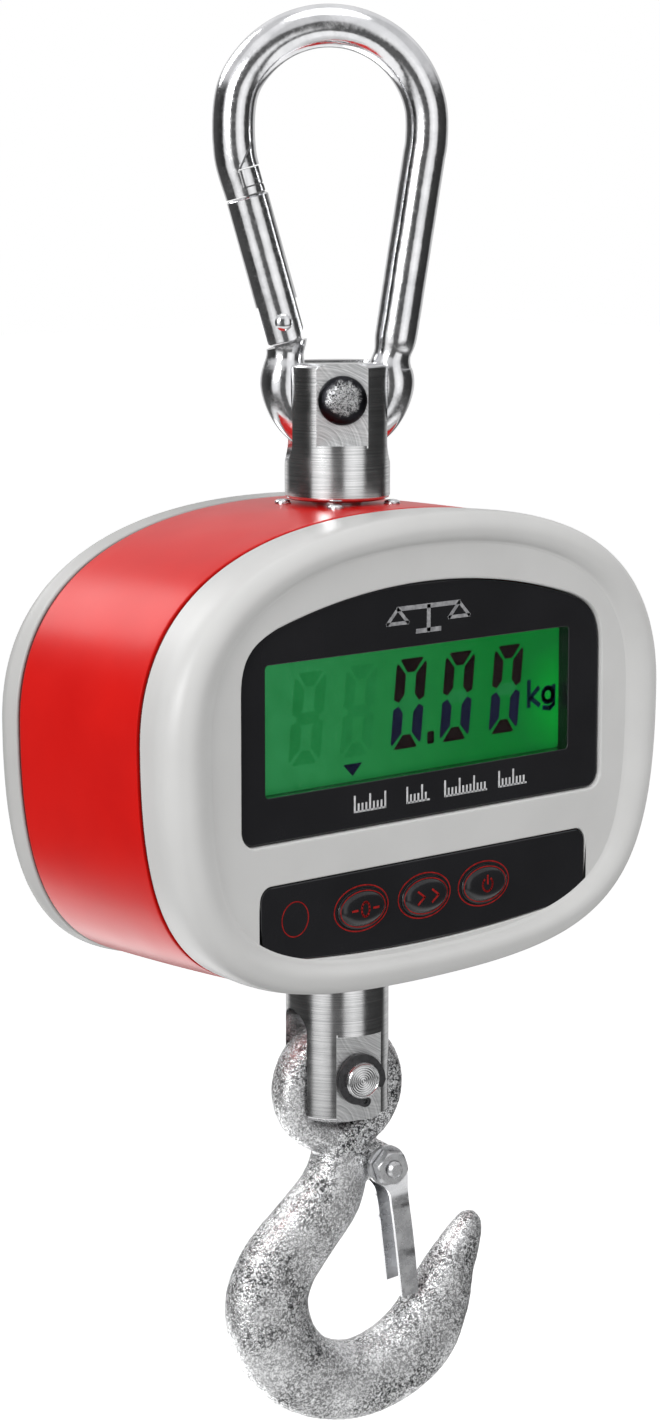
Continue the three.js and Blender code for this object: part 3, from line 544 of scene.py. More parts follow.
def on_gate(origin):
    """Local X inwards, Y across and Z up the gate's line."""
    return UPPER @ Matrix((
        (GATE_IN[0], 0, GATE_UP[0], origin[0]), (0, 1, 0, 0),
        (GATE_IN[1], 0, GATE_UP[1], origin[1]), (0, 0, 0, 1)))


def snap_hook():
    points = [HINGE - GATE_UP * 4.5]
    points += [on_circle((0, EYE_Z), EYE_R, d) for d in range(166, 375, 16)]
    points += [side_at(SPINE_TANGENT, SPINE_UP, z) for z in (-80, -62, -44, -30)]
    points += [on_circle(ARCH, BOW_R, d) for d in np.arange(-8.8, 180, 21)]
    points += [GATE_TANGENT, NOSE]
    path = curve_through(points, 12)
    rings = []
    for at, way in zip(path, directions(path)):
        side = np.array([way[1], -way[0]])
        pinched = WIRE_R - 0.75 * math.exp(-((at[1] + 85) / 2.6) ** 2)
        radius = pinched + 0.45 * math.exp(-((at[1] + 93) / 4.5) ** 2)
        ring = []
        for k in range(48):
            a = 2 * math.pi * k / 48
            flat = at + side * radius * math.cos(a)
            ring.append((flat[0], radius * math.sin(a), flat[1]))
        rings.append(ring)
    wire = loft("snap_hook_wire", rings, UPPER)
    hinge, nose = on_gate(HINGE), on_gate(NOSE)
    cut(wire, block("t", (-9, 9), (-9, 9), (-6.5, 8), hinge))
    fuse(wire, block("t", (-4, 4), (-2.6, 2.6), (-7.5, 0), hinge), rod("t", 4, -2.6, 2.6, hinge, "Y"))
    cut(wire, block("t", (-0.8, 8), (-8, 8), (2, 7.4), nose),
        block("t", (-0.8, 8), (-2.9, 2.9), (-2, 7.4), nose),
        block("t", (-0.25, 0.25), (-8, -2), (-0.5, 10), nose @ shift(-0.7, 0, 7) @ turned_y(40)))
    soften(wire, 0.45, 3)
    smooth(wire)
    fit(wire, "snap_hook", "chrome", CHROME, stands_for=("snap_hook_body",))

    top = float(np.linalg.norm(NOSE - HINGE)) - 0.5
    gate = turned("snap_hook_barrel", [
        (5.2, -5.9), (WIRE_R - 0.15, -5.7), (WIRE_R, -5.2), (WIRE_R, top - 0.5), (WIRE_R - 0.5, top)],
        hinge, 96)
    head = block("t", (-0.4, 5.2), (-6, 6), (2.4, 7), nose)
    combine(head, "INTERSECT", [rod("t", WIRE_R - 0.1, 0, 8, nose, sides=96)])
    fuse(gate, block("t", (-0.4, 5), (-2.5, 2.5), (-1.5, 3), nose), head)
    corner = cut(block("t", (0, 9), (-9, 9), (-9, 0), hinge), rod("t", WIRE_R, -12, 12, hinge, "Y", 96))
    cut(gate, block("t", (-8, 8), (-3, 3), (-8, 5.5), hinge), corner)
    soften(gate, 0.3, 3)
    smooth(gate)
    fit(gate, "gate", "chrome", CHROME, stands_for=("snap_hook_gate",))
    rivet = turned("gate_rivet_head", [
        (0, -7.3), (0.8, -7.26), (1.5, -7.1), (2.1, -6.8), (2.45, -6.4), (2.3, -6.1), (2.3, 6.1), (2.45, 6.4),
        (2.1, 6.8), (1.5, 7.1), (0, 7.3)], hinge, 48, "Y")
    fit(smooth(rivet), "snap_hook", "chrome", CHROME, stands_for=("gate_rivet",))


# ------------------------------------------------------------------ clevises, pins, clips
UPPER_PIN_Z, LOWER_PIN_Z = -97.3, -293
UPPER_PIN, LOWER_PIN = UPPER @ shift(0, 0, UPPER_PIN_Z), LOWER @ shift(0, 0, LOWER_PIN_Z)
FLIPPED = Matrix.Rotation(math.pi, 4, "X")
BAR_R, SLOT_HALF, FLAT_AT, FAR = 15, 6.6, 13.1, 20


def clevis(name, body, node, place, turn, height, ear, foot, slot_depth, flat_depth, pin_r):
    """Turned bar with a slot across it, round at the bottom, and a milled flat on each cheek."""
    made = turned(name, [
        (0, -foot - 4), (7, -foot - 4), (7.5, -foot), (13.6, -foot), (14.6, 0.5 - foot), (BAR_R, 1.3 - foot),
        (BAR_R, -flat_depth - 0.9), (BAR_R, ear - 1.5), (14.7, ear - 0.8), (13.6, ear), (0, ear)], place, 160)
    slot_end, past_ear = SLOT_HALF - slot_depth, ear + 5
    round_end = rod("t", SLOT_HALF, -FAR, FAR, place @ shift(0, 0, slot_end), "X", 96)
    slot = block("t", (-FAR, FAR), (-SLOT_HALF, SLOT_HALF), (slot_end, past_ear), place)
    flats = [block("t", (-FAR, FAR), ys, (-flat_depth, past_ear), place)
             for ys in ((-FAR, -FLAT_AT), (FLAT_AT, FAR))]
    cut(made, round_end, slot, *flats, rod("t", pin_r + 0.3, -FAR, FAR, place, "Y"))
    soften(made, 0.4, 3)
    smooth(made)
    fit(made, body, "turned_steel", turned_steel(turn), milled_steel(turn, height), stands_for=(node,))
    across = (place.to_3x3() @ Vector((0, 1, 0))).normalized()
    for face in made.data.polygons:
        depth = abs((place.inverted() @ (face.center / MM)).y)
        milled = abs(face.normal.dot(across)) > 0.9995 and abs(depth - FLAT_AT) < 0.05
        face.material_index = 1 if milled else 0


def domed_pin(name, body, node, place, material):
    dome = [(7.0 * math.sin(a), -13.4 - 3.3 * math.cos(a) ** 0.9) for a in np.linspace(0, 1.42, 16)]
    shank = [(6.9, -13.4), (4.5, -13.35), (4.5, 16.3), (3.9, 16.9), (0, 16.9)]
    made = turned(name, [*dome, *shank], place, 96, "Y")
    fit(smooth(made), body, "black_steel", material, stands_for=(node,))


def end_pin(name, body, node, place, material):
    """The clip end of a pin, faced on the lathe, with its head on the far side."""
    made = turned(name, [
        (0, -16.8), (3, -16.6), (5.4, -15.7), (6.75, -14.3), (6.75, -13.4), (5, -13.4), (5, 13.35),
        (4.1, 13.35), (4.1, 14.75), (5.35, 14.75), (5.4, 15.8), (5.2, 16.3), (4.75, 16.6), (4.5, 16.35),
        (4.3, 16.2), (0, 16.25)],
        place, 96, "Y")
    fit(smooth(made, 30), body, "turned_steel", material, stands_for=(node,))


def pin_clip(name, body, node, place):
    """Open ring: one end runs off straight, the other ends in a round lug with a hole."""
    eyelet = (1.5, 6.7)
    outline = [*arc(0, 0, 7.5, -30, -262, 44), *arc(*eyelet, 1.75, 120, -20), *arc(0, 0, 4.75, -284, -20, 44),
               (5.5, 1.4), (5.7, 2.8), (7.0, 3.5), (8.2, 0.9), (7.7, -1.8)]
    made = prism(name, outline, 13.45, 14.75, place)
    cut(made, rod("t", 0.6, 10, 18, place @ shift(eyelet[0], 0, eyelet[1]), "Y", 24))
    soften(made, 0.2, 2)
    fit(smooth(made), body, "black_steel", BLACK_STEEL, stands_for=(node,))


def clevises():
    clevis("upper_fork", "upper_swivel", "upper_clevis", UPPER_PIN, UPPER_TURN, UPPER_PIN_Z,
           10.2, 28.6, 18.7, 12.7, 4.5)
    lower = LOWER_PIN @ FLIPPED
    clevis("lower_fork", "lower_swivel", "lower_clevis", lower, LOWER_TURN, LOWER_PIN_Z,
           12.5, 32.6, 19.6, 13, 5)
    domed_pin("upper_cross_pin", "upper_swivel", "upper_pin", UPPER_PIN,
              worn_black_steel(UPPER_TURN, UPPER_PIN_Z, 5.9))
    end_pin("lower_cross_pin", "lower_swivel", "lower_pin", lower, faced_steel(LOWER_TURN, LOWER_PIN_Z))
    pin_clip("upper_clip", "upper_swivel", "upper_pin_clip", UPPER_PIN)
    pin_clip("lower_clip", "lower_swivel", "lower_pin_clip", lower)


# ------------------------------------------------------------------ housing
HOUSING_TOP, HOUSING_BOTTOM, WIDE_Z, HALF = -127.3, -259.0, -184.2, 93.9
BAND_FRONT, BAND_REAR = -22.8, 27.3
BEZEL_FACE, WINDOW_FACE, KEYPAD_FACE, CELL_FACE = -38.3, -37.2, -38.2, -33.2
SOCKET = (-38, -240)
SHOULDER = ((0, HOUSING_TOP), (76.3, HOUSING_TOP), (HALF, WIDE_Z + 27.1), (HALF, WIDE_Z))
FLANK = ((HALF, WIDE_Z), (HALF, WIDE_Z - 64), (72.2, HOUSING_BOTTOM), (0, HOUSING_BOTTOM))


def bezier(points, t):
    p = [np.array(q, float) for q in points]
    at = p[0] * (1 - t) ** 3 + 3 * p[1] * t * (1 - t) ** 2 + 3 * p[2] * t * t * (1 - t) + p[3] * t ** 3
    way = (p[1] - p[0]) * (1 - t) ** 2 + 2 * (p[2] - p[1]) * t * (1 - t) + (p[3] - p[2]) * t * t
    return at, way / np.linalg.norm(way)


def housing_point(t, inset):
    at, way = bezier(SHOULDER, t) if t < 1 else bezier(FLANK, t - 1)
    return at + np.array([way[1], -way[0]]) * inset


def housing_ring(inset, y, narrowing=0.0, steps=128):
    """Outline moved inwards by inset; narrowing eases that at the top and bottom."""
    right = []
    for k in range(steps + 1):
        t = 2 * k / steps
        ease = 1 - narrowing * abs(math.cos(math.pi * t / 2)) ** 1.5
        x, z = housing_point(t, inset * ease)
        right.append((0.0 if k in (0, steps) else x, y, z))
    return [*right, *((-x, py, z) for x, py, z in right[-2:0:-1])]


def faced(name, rings, holes):
    """A skin of rings, then a flat face with holes in it; each hole is its own rings going in."""
    count = len(rings[0])
    points = [p for ring in rings for p in ring]
    faces = []

    def skin(first, size, number):
        for r in range(number - 1):
            for k in range(size):
                a, b = first + r * size + k, first + r * size + (k + 1) % size
                faces.append((a, b, b + size, a + size))

    skin(0, count, len(rings))
    edge = list(range((len(rings) - 1) * count, len(rings) * count))
    loops = [[Vector(p) for p in rings[-1]]]
    index = list(edge)
    for hole in holes:
        first, size = len(points), len(hole[0])
        points += [p for ring in hole for p in ring]
        skin(first, size, len(hole))
        loops.append([Vector(p) for p in hole[0]])
        index += list(range(first, first + size))
    faces += [tuple(index[i] for i in tri) for tri in geometry.tessellate_polygon(loops)]
    return new_mesh(name, points, faces)


def arc(cx, cz, radius, start, end, steps=12):
    return [tuple(on_circle((cx, cz), radius, d)) for d in np.linspace(start, end, steps)]


def rounded(left, right, bottom, top, r):
    return [*arc(right - r, bottom + r, r, -90, 0), *arc(right - r, top - r, r, 0, 90),
            *arc(left + r, top - r, r, 90, 180), *arc(left + r, bottom + r, r, 180, 270)]


def bend(points, steps=14):
    """A quadratic or cubic curve through its control points."""
    out = []
    for t in np.linspace(0, 1, steps):
        row = [np.array(p, float) for p in points]
        while len(row) > 1:
            row = [a * (1 - t) + b * t for a, b in zip(row, row[1:])]
        out.append(tuple(row[0]))
    return out


def window_outline(grow=0.0):
    w, low, c, side, top = 70.3 + grow, -212.9 - grow, 5 + grow, -154.4, -146.2
    rise = top - side
    r0 = (57 * 57 + rise * rise) / (2 * rise)
    half, r = math.degrees(math.asin(57 / r0)), r0 + grow
    end = on_circle((0, top + grow - r), r, 90 - half)
    right = [*arc(w - c, low + c, c, -90, 0), *bend(((w, side - 17), (w, side - 6), (w - 5, side - 3), end)),
             *arc(0, top + grow - r, r, 90 - half, 90, 24)[1:]]
    return [*right, *((-x, z) for x, z in right[-2::-1])]


def keypad_outline(grow=0.0):
    w, c, top, side = 63.9 + grow, 4 + grow, -224.2 + grow, -244.9 - grow
    low = 2 * (-248.4 - grow) - side
    right = [*bend(((0, (low + side) / 2), ((w - c) / 2, (low + side) / 2), (w - c, side)), 20),
             *bend(((w - c, side), (w, side), (w, side + c)), 10)[1:], *arc(w - c, top - c, c, 0, 90)]
    return [*right, *((-x, z) for x, z in right[:0:-1])]


def oval(x, z, a, b, steps=72):
    return [(x + a * math.cos(t), z + b * math.sin(t)) for t in full_turn(steps)]


def at_depth(outline, y):
    return [(x, y, z) for x, z in outline]


def rolled_hole(outline_at, face_y, floor_y, fillet):
    """Rings from a face down a hole, over a rounded lip."""
    way = 1 if floor_y > face_y else -1
    rings = []
    for a in np.linspace(0, math.pi / 2, 6):
        out, down = fillet * (1 - math.sin(a)), fillet * (1 - math.cos(a))
        rings.append(at_depth(outline_at(out), face_y + way * down))
    return [*rings, at_depth(outline_at(0), floor_y)]


def shells():
    edge = [(1.6, 0.0), (0.5, 0.0), (0.15, 0.15), (0.0, 0.6)]
    front = [housing_ring(i, BAND_FRONT + d) for i, d in edge]
    rear = [housing_ring(i, BAND_REAR - d) for i, d in reversed(edge)]
    flat = BAND_REAR - BAND_FRONT - 2 * edge[-1][1]
    crown = [housing_ring(-0.25 * math.sin(math.pi * f), BAND_FRONT + edge[-1][1] + flat * f)
             for f in np.linspace(0.1, 0.9, 9)]
    inner = [housing_ring(3, BAND_REAR), housing_ring(3, BAND_FRONT)]
    band = loft("housing_band", [*front, *crown, *rear, *inner], looped=True)
    fit(smooth(band), "housing", "red_plastic", RED, stands_for=("middle_band",))
    for name, node, y0, y1 in (
            ("front_gasket", "front_seal", -24.1, -23.0), ("rear_gasket", "rear_seal", 27.5, 28.7)):
        section = ((0.8, y0), (0.6, (y0 + y1) / 2), (0.8, y1), (3, y1), (3, y0))
        seal = loft(name, [housing_ring(i, y) for i, y in section], looped=True)
        fit(smooth(seal), "housing", "seal_rubber", RUBBER, stands_for=(node,))

    roll = curve_through([
        (0.5, -24.0), (0.1, -24.3), (0, -25), (-0.8, -29), (-1.4, -33), (-1.1, -36.4), (0.5, -39.2),
        (2.4, -40.6), (4.8, -41.15), (7.4, -40.8), (10.0, -39.8), (12.2, -38.7), (13.2, -38.3)], 5)
    rings = [housing_ring(i, y, 0.8 if i < 0 else 0.31 * min(1, max(0, (i - 3) / 9)))
             for i, y in [(3, -24.0), *roll]]
    holes = [rolled_hole(window_outline, BEZEL_FACE, -34.9, 0.7),
             rolled_hole(keypad_outline, BEZEL_FACE, -37.3, 0.5)]
    bezel = faced("front_cover", rings, holes)
    fit(smooth(bezel, 35), "housing", "light_plastic", LIGHT, stands_for=("front_bezel",))

    back = curve_through([
        (0.5, 28.7), (0.1, 29.0), (0, 29.8), (-0.5, 33), (0.2, 35), (1.2, 36.6), (2.8, 38.6), (4.6, 39.9),
        (7, 40.7), (10, 41)], 4)
    rings = [housing_ring(i, y) for i, y in [(3, 28.7), *back]]
    spots = [housing_point(t, 8) for t in (0.48, 1.52)]
    spots = [p for x, z in spots for p in ((x, z), (-x, z))]
    cover = loft("back_cover", rings)
    recesses = [rod("t", 4, 36, 45, shift(x, 0, z), "Y", 72) for x, z in spots]
    at_socket = shift(SOCKET[0], 0, SOCKET[1])
    cut(cover, *recesses, rod("t", 6.2, 30, 45, at_socket, "Y", 72))
    soften(cover, 0.4, 3, 60)
    # The back cover takes the darker copy of the light plastic: painted shade.
    fit(smooth(cover, 35), "housing", "light_plastic", REAR_PAINTED_SHADE, stands_for=("rear_cover",))
    for k, (x, z) in enumerate(spots):
        screw = turned(f"back_screw_{k + 1}", [
            (0, 37), (3.3, 37), (3.4, 37.9), (3.1, 38.6), (2.3, 39.1), (1.0, 39.35), (0, 39.4)],
            shift(x, 0, z), 48, "Y")
        cut(screw, block("t", (-1.9, 1.9), (38, 41), (-0.4, 0.4), shift(x, 0, z)),
            block("t", (-0.4, 0.4), (38, 41), (-1.9, 1.9), shift(x, 0, z)))
        fit(smooth(soften(screw, 0.08)), "housing", "zinc_plate", ZINC, stands_for=(f"rear_screw_{k + 1}",))
    socket = turned("charge_jack", [
        (5.8, 30), (5.8, 40.2), (5.4, 40.6), (3.1, 40.6), (2.8, 40.3), (2.8, 33), (0.9, 33), (0.9, 39),
        (0.4, 39.5), (0, 39.5)], at_socket, 64, "Y")
    fit(smooth(socket), "housing", "dark_plastic", DARK, stands_for=("charge_socket",))


def small_screws():
    spots = ((11, 11), (-11, 11), (-11, -11), (11, -11))
    head = ((0, -4), (2.3, -4), (2.35, 0.1), (2.2, 0.5), (1.6, 0.85), (0.8, 1.0), (0, 1.05))
    for way, node, face in ((1, "neck_screw", HOUSING_TOP), (-1, "foot_screw", HOUSING_BOTTOM)):
        for k, (x, y) in enumerate(spots):
            at = shift(x, y, face + 0.2 * way)
            made = turned(f"{node}_head_{k + 1}", [(r, h * way) for r, h in head], at, 48)
            cut(made, block("t", (-1.3, 1.3), (-0.2, 0.2), sorted((0.7 * way, 2 * way)), at))
            fit(smooth(made), "housing", "zinc_plate", ZINC, stands_for=(f"{node}_{k + 1}",))


# ------------------------------------------------------------------ display
def flat_print(name, outlines, y, thick, material, slot, body="housing"):
    """Several thin raised shapes as one piece."""
    points, faces = [], []
    for outline in outlines:
        first, size = len(points), len(outline)
        points += at_depth(outline, y) + at_depth(outline, y + thick)
        faces.append(tuple(range(first, first + size)))
        faces += [(first + k, first + (k + 1) % size, first + size + (k + 1) % size, first + size + k)
                  for k in range(size)]
    return fit(new_mesh(name, points, faces), body, slot, material)


def hoop(name, x, z, a, b, width, y, material, body):
    """A thin oval line."""
    rings = [at_depth(oval(x, z, a + d, b + d), level)
             for d, level in ((0, y + 0.05), (0, y), (-width, y), (-width, y + 0.05))]
    return fit(loft(name, rings, looped=True), body, "black_gloss", material)


def stroke(points, width):
    """A line of the given width as quads."""
    out = []
    for (x0, z0), (x1, z1) in zip(points, points[1:]):
        length = math.hypot(x1 - x0, z1 - z0)
        nx, nz = (z0 - z1) / length * width / 2, (x1 - x0) / length * width / 2
        ex, ez = (x1 - x0) / length * width * 0.3, (z1 - z0) / length * width * 0.3
        out.append([(x0 - ex + nx, z0 - ez + nz), (x1 + ex + nx, z1 + ez + nz),
                    (x1 + ex - nx, z1 + ez - nz), (x0 - ex - nx, z0 - ez - nz)])
    return out


DIGIT_W, DIGIT_H, BAR = 11.8, 25.3, 3.9


def digit_bars():
    """Seven-segment bars of an upright digit, from its lower left corner."""
    w, h, t, m, g = DIGIT_W, DIGIT_H, BAR, DIGIT_H / 2, 0.55
    top = [(g + 0.9, h - 0.25), (g + 1.7, h), (w - g - 1.7, h), (w - g - 0.9, h - 0.25),
           (w - g - t, h - t), (g + t, h - t)]
    upper = [(0, h - g - 1.6), (0.3, h - g - 0.8), (0.8, h - g - 0.8), (t, h - g - t),
             (t, m + 2.6), (t / 2, m + 0.5), (0, m + 1.4)]

    def mirrored(bar, across, down):
        return [(w - x if across else x, h - z if down else z) for x, z in bar]

    return {
        "top": top, "bottom": mirrored(top, False, True),
        "upper_left": upper, "upper_right": mirrored(upper, True, False),
        "lower_left": mirrored(upper, False, True), "lower_right": mirrored(upper, True, True),
        "middle": [(1.6, m), (3.2, m + 1.7), (w - 3.2, m + 1.7), (w - 1.6, m),
                   (w - 3.2, m - 1.7), (3.2, m - 1.7)],
    }


def slanted(outline, left, bottom):
    return [(left + x + z * math.tan(math.radians(6)), bottom + z) for x, z in outline]


DIGIT_FOOT, PRINT, PRINT_AT = -193.4, 0.06, CELL_FACE - 0.07


def lcd_opening(grow):
    return rounded(-61 - grow, 57.2 + grow, -200.2 - grow, -164.2 + grow, 1.2 + grow)


def display():
    edge = ((0.3, -35.2), (0.3, -36.6), (0.4, -37.0), (0.7, WINDOW_FACE))
    rim = [at_depth(window_outline(-i), y) for i, y in edge]
    panel = faced("display_window", rim, [rolled_hole(lcd_opening, WINDOW_FACE, -33.15, 0.25)])
    fit(smooth(panel, 35), "housing", "black_gloss", GLOSS, stands_for=("display_panel",))
    lens = prism("display_cover", lcd_opening(-0.1), -36.9, -36.3)
    fit(smooth(lens), "housing", "clear_lens", LENS, stands_for=("display_lens",))
    glass = prism("display_cell", rounded(-62, 62, -203, -163.5, 0.5), CELL_FACE, -30.4)
    fit(smooth(glass), "housing", "lcd_panel", DISPLAY, stands_for=("lcd_glass",))

    bars = digit_bars()
    upper, lower, idle = [], [], []
    for left in (-11, 8.2, 28):
        for key, outline in bars.items():
            shape = slanted(outline, left, DIGIT_FOOT)
            (idle if key == "middle" else lower if key.startswith("lower") else upper).append(shape)
    for left in (-30.2, -49.4):
        idle += [slanted(outline, left, DIGIT_FOOT) for outline in bars.values()]
    upper.append(rounded(3.5, 6.2, -193.2, -189.6, 0.6))
    lower.append([(-28.9, -195.3), (-21.7, -195.3), (-25.3, -198.8)])
    unit = [*stroke([(44.7, -179.6), (44.7, -186.9)], 1.6),
            *stroke([(48.7, -181.9), (45.4, -184.4), (49.0, -186.9)], 1.5)]
    ring = oval(52.7, -184.3, 2.1, 2.1, 12)
    ring.append(ring[0])
    tail = [(55.2, -181.8), (55.1, -187.3), (53.6, -188.3), (50.9, -187.9)]
    unit += [*stroke(ring, 1.5), *stroke(tail, 1.5)]
    flat_print("digits_dark", upper, PRINT_AT, PRINT, SEGMENT, "lcd_panel")
    flat_print("digits_low", lower, PRINT_AT, PRINT, SEGMENT_LOW, "lcd_panel")
    flat_print("digits_idle", idle, -33.24, 0.03, IDLE, "lcd_panel")
    flat_print("unit_mark", unit, PRINT_AT, PRINT, UNIT_INK, "lcd_panel")

    marks = []
    for x0, x1 in ((-28.2, -16.4), (-8.1, 0.5), (6.8, 23.5), (28.6, 39.8)):
        for n, x in enumerate(np.arange(x0, x1, 1.45)):
            marks += stroke([(x, -208), (x, -203.6 if n % 4 == 0 else -205.9)], 0.62)
        marks += stroke([(x0, -208), (x1, -208)], 0.5)
    flat_print("panel_marks", marks, -37.27, 0.1, PALE_INK, "black_gloss")
    beam = [*stroke([(-12, -153.2), (12, -153.2)], 1.3), *stroke([(0, -153.2), (0, -160)], 1.4),
            *stroke([(-4.5, -160), (4.5, -160)], 1.3)]
    for x in (-12, 12):
        beam += stroke([(x - 4, -157.2), (x, -153.2), (x + 4, -157.2), (x - 4, -157.2)], 1.0)
    flat_print("balance_mark", beam, -37.27, 0.1, GREY_INK, "black_gloss")


KEY_X, KEY_Z = (-26.1, -1.7, 22), -235.2


def keypad():
    edge = ((0.25, -37.3), (0.25, -37.8), (0.35, -38.05), (0.6, KEYPAD_FACE))
    rim = [at_depth(keypad_outline(-i), y) for i, y in edge]
    holes = [rolled_hole(lambda g, x=x: oval(x, KEY_Z, 9.5 + g, 5.9 + g), KEYPAD_FACE, -37.4, 0.15)
             for x in KEY_X]
    overlay = faced("keypad_sheet", rim, holes)
    fit(smooth(overlay, 35), "housing", "black_gloss", GLOSS, stands_for=("keypad_overlay",))
    crown = (
        (0, -37.0), (0, -38.15), (0.15, -38.3), (1.0, -38.35), (1.2, -38.6), (1.6, -38.95), (2.2, -39.2),
        (3.2, -39.38), (4.2, -39.45))
    for k, x in enumerate(KEY_X):
        body = f"key_{k + 1}"
        rings = [at_depth(oval(x, KEY_Z, 9.35 - i, 5.75 - i), y) for i, y in crown]
        cap = loft(f"key_cap_{k + 1}", rings)
        fit(smooth(cap, 50), body, "black_gloss", GLOSS, stands_for=(f"key_{k + 1}",))
        hoop(f"key_ring_{k + 1}", x - 0.5, KEY_Z + 0.2, 10.4, 6.6, 0.36, -38.26, RED_INK, "housing")
        hoop(f"key_line_{k + 1}", x, KEY_Z, 8.6, 5.2, 0.3, -38.42, RED_INK, body)
    icons = (
        (oval(0, 0, 1.5, 2.1, 12) + [(1.5, 0)], [(-5, 0), (-3, 0)], [(3, 0), (5, 0)]),
        ([(-4, 1.8), (-1.5, 0), (-4, -1.8)], [(1.5, 1.8), (4, 0), (1.5, -1.8)]),
        ([(2 * math.sin(a), 2 * math.cos(a)) for a in np.linspace(0.7, 5.6, 14)], [(0, 2.6), (0, 0.2)]))
    for k, (centre, lines) in enumerate(zip(KEY_X, icons)):
        icon = [quad for line in lines for quad in stroke([(centre + x, KEY_Z + z) for x, z in line], 0.6)]
        flat_print(f"key_icon_{k + 1}", icon, -39.5, 0.12, RED_INK, "black_gloss", f"key_{k + 1}")
    hoop("sensor_ring", -51.3, -234.4, 5, 5, 0.32, -38.26, RED_INK, "housing")


# ------------------------------------------------------------------ load hook
SPINE = (
    (0.8, -311, 17, 12), (0.7, -320, 17, 14), (-2.6, -330.5, 20, 15.5), (-11.6, -341, 21.5, 16.5),
    (-19.8, -350.5, 23.5, 17), (-23.4, -361, 25.2, 17.5), (-20.6, -373.5, 25, 18), (-11.4, -384, 24, 18),
    (2.2, -388.8, 23.4, 18), (16, -386.8, 23.6, 18), (27.6, -379.4, 23.6, 17.5), (34.3, -368.4, 20.2, 15.5),
    (38.3, -359.4, 15.2, 13.4), (41.9, -353, 12, 11), (44.5, -347.8, 9, 8.6), (45.7, -344.6, 5.8, 6),
    (46.2, -343.2, 1.8, 2))
BOLT = (12.5, -322.3)


def load_hook():
    path = curve_through([(u, z) for u, z, _, _ in SPINE], 7)
    sizes = curve_through([(w, t) for _, _, w, t in SPINE], 7, alpha=0)
    rings = []
    for at, way, (width, thick) in zip(path, directions(path), sizes):
        side = np.array([way[1], -way[0]])
        ring = []
        for k in range(56):
            a = 2 * math.pi * k / 56
            c, s = math.cos(a), math.sin(a)
            flat = at + side * width / 2 * math.copysign(abs(c) ** 0.84, c)
            ring.append((flat[0], thick / 2 * math.copysign(abs(s) ** 0.84, s), flat[1]))
        rings.append(ring)
    hook = loft("load_hook_forging", rings, LOWER)
    profile = []
    for a in full_turn(40):
        c, s = math.cos(a), math.sin(a)
        profile.append((15.5 + 5 * math.copysign(abs(c) ** 0.85, c), 6 * math.copysign(abs(s) ** 0.85, s)))
    eye = turned("t", profile, LOWER @ shift(0, 0, -298.2), 128, "Y", looped=True)
    lug = rod("t", 5.6, -4.9, 4.9, LOWER @ shift(BOLT[0], 0, BOLT[1]), "Y")
    web = block("t", (3, BOLT[0]), (-4.9, 4.9), (BOLT[1] - 4.5, BOLT[1] + 4.5), LOWER)
    fuse(hook, eye, lug, web)
    step = hook.modifiers.new("even", "REMESH")
    step.mode, step.voxel_size = "VOXEL", 0.5 * MM
    step = hook.modifiers.new("ease", "SMOOTH")
    step.factor, step.iterations = 0.5, 8
    grain = bpy.data.textures.new("forging_grain", "CLOUDS")
    grain.noise_scale, grain.noise_depth = 0.0013, 2
    dents = bpy.data.textures.new("forging_dents", "CLOUDS")
    dents.noise_scale, dents.noise_depth = 0.009, 1
    for texture, strength in ((dents, 0.30), (grain, 0.24)):
        step = hook.modifiers.new("rough", "DISPLACE")
        step.texture, step.strength, step.mid_level = texture, strength * MM, 0.5
        step.texture_coords = "LOCAL"
    bake(hook)
    smooth(hook, 180, weighted=False)
    fit(hook, "load_hook", "forged_zinc", FORGED, stands_for=("hook_body",))


def latch_frame():
    lean = math.radians(8.9)
    down, out = (math.sin(lean), -math.cos(lean)), (math.cos(lean), math.sin(lean))
    return LOWER @ Matrix((
        (out[0], 0, -down[0], BOLT[0]), (0, 1, 0, 0), (out[1], 0, -down[1], BOLT[1]), (0, 0, 0, 1)))


LATCH = latch_frame()            # local X outwards, Z back up towards the bolt


def channel(name, stations):
    return loft(name, [[(o, y, -along) for o, y in ((i, -half), (x, -half), (x, half), (i, half))]
                       for along, i, x, half in stations], LATCH)


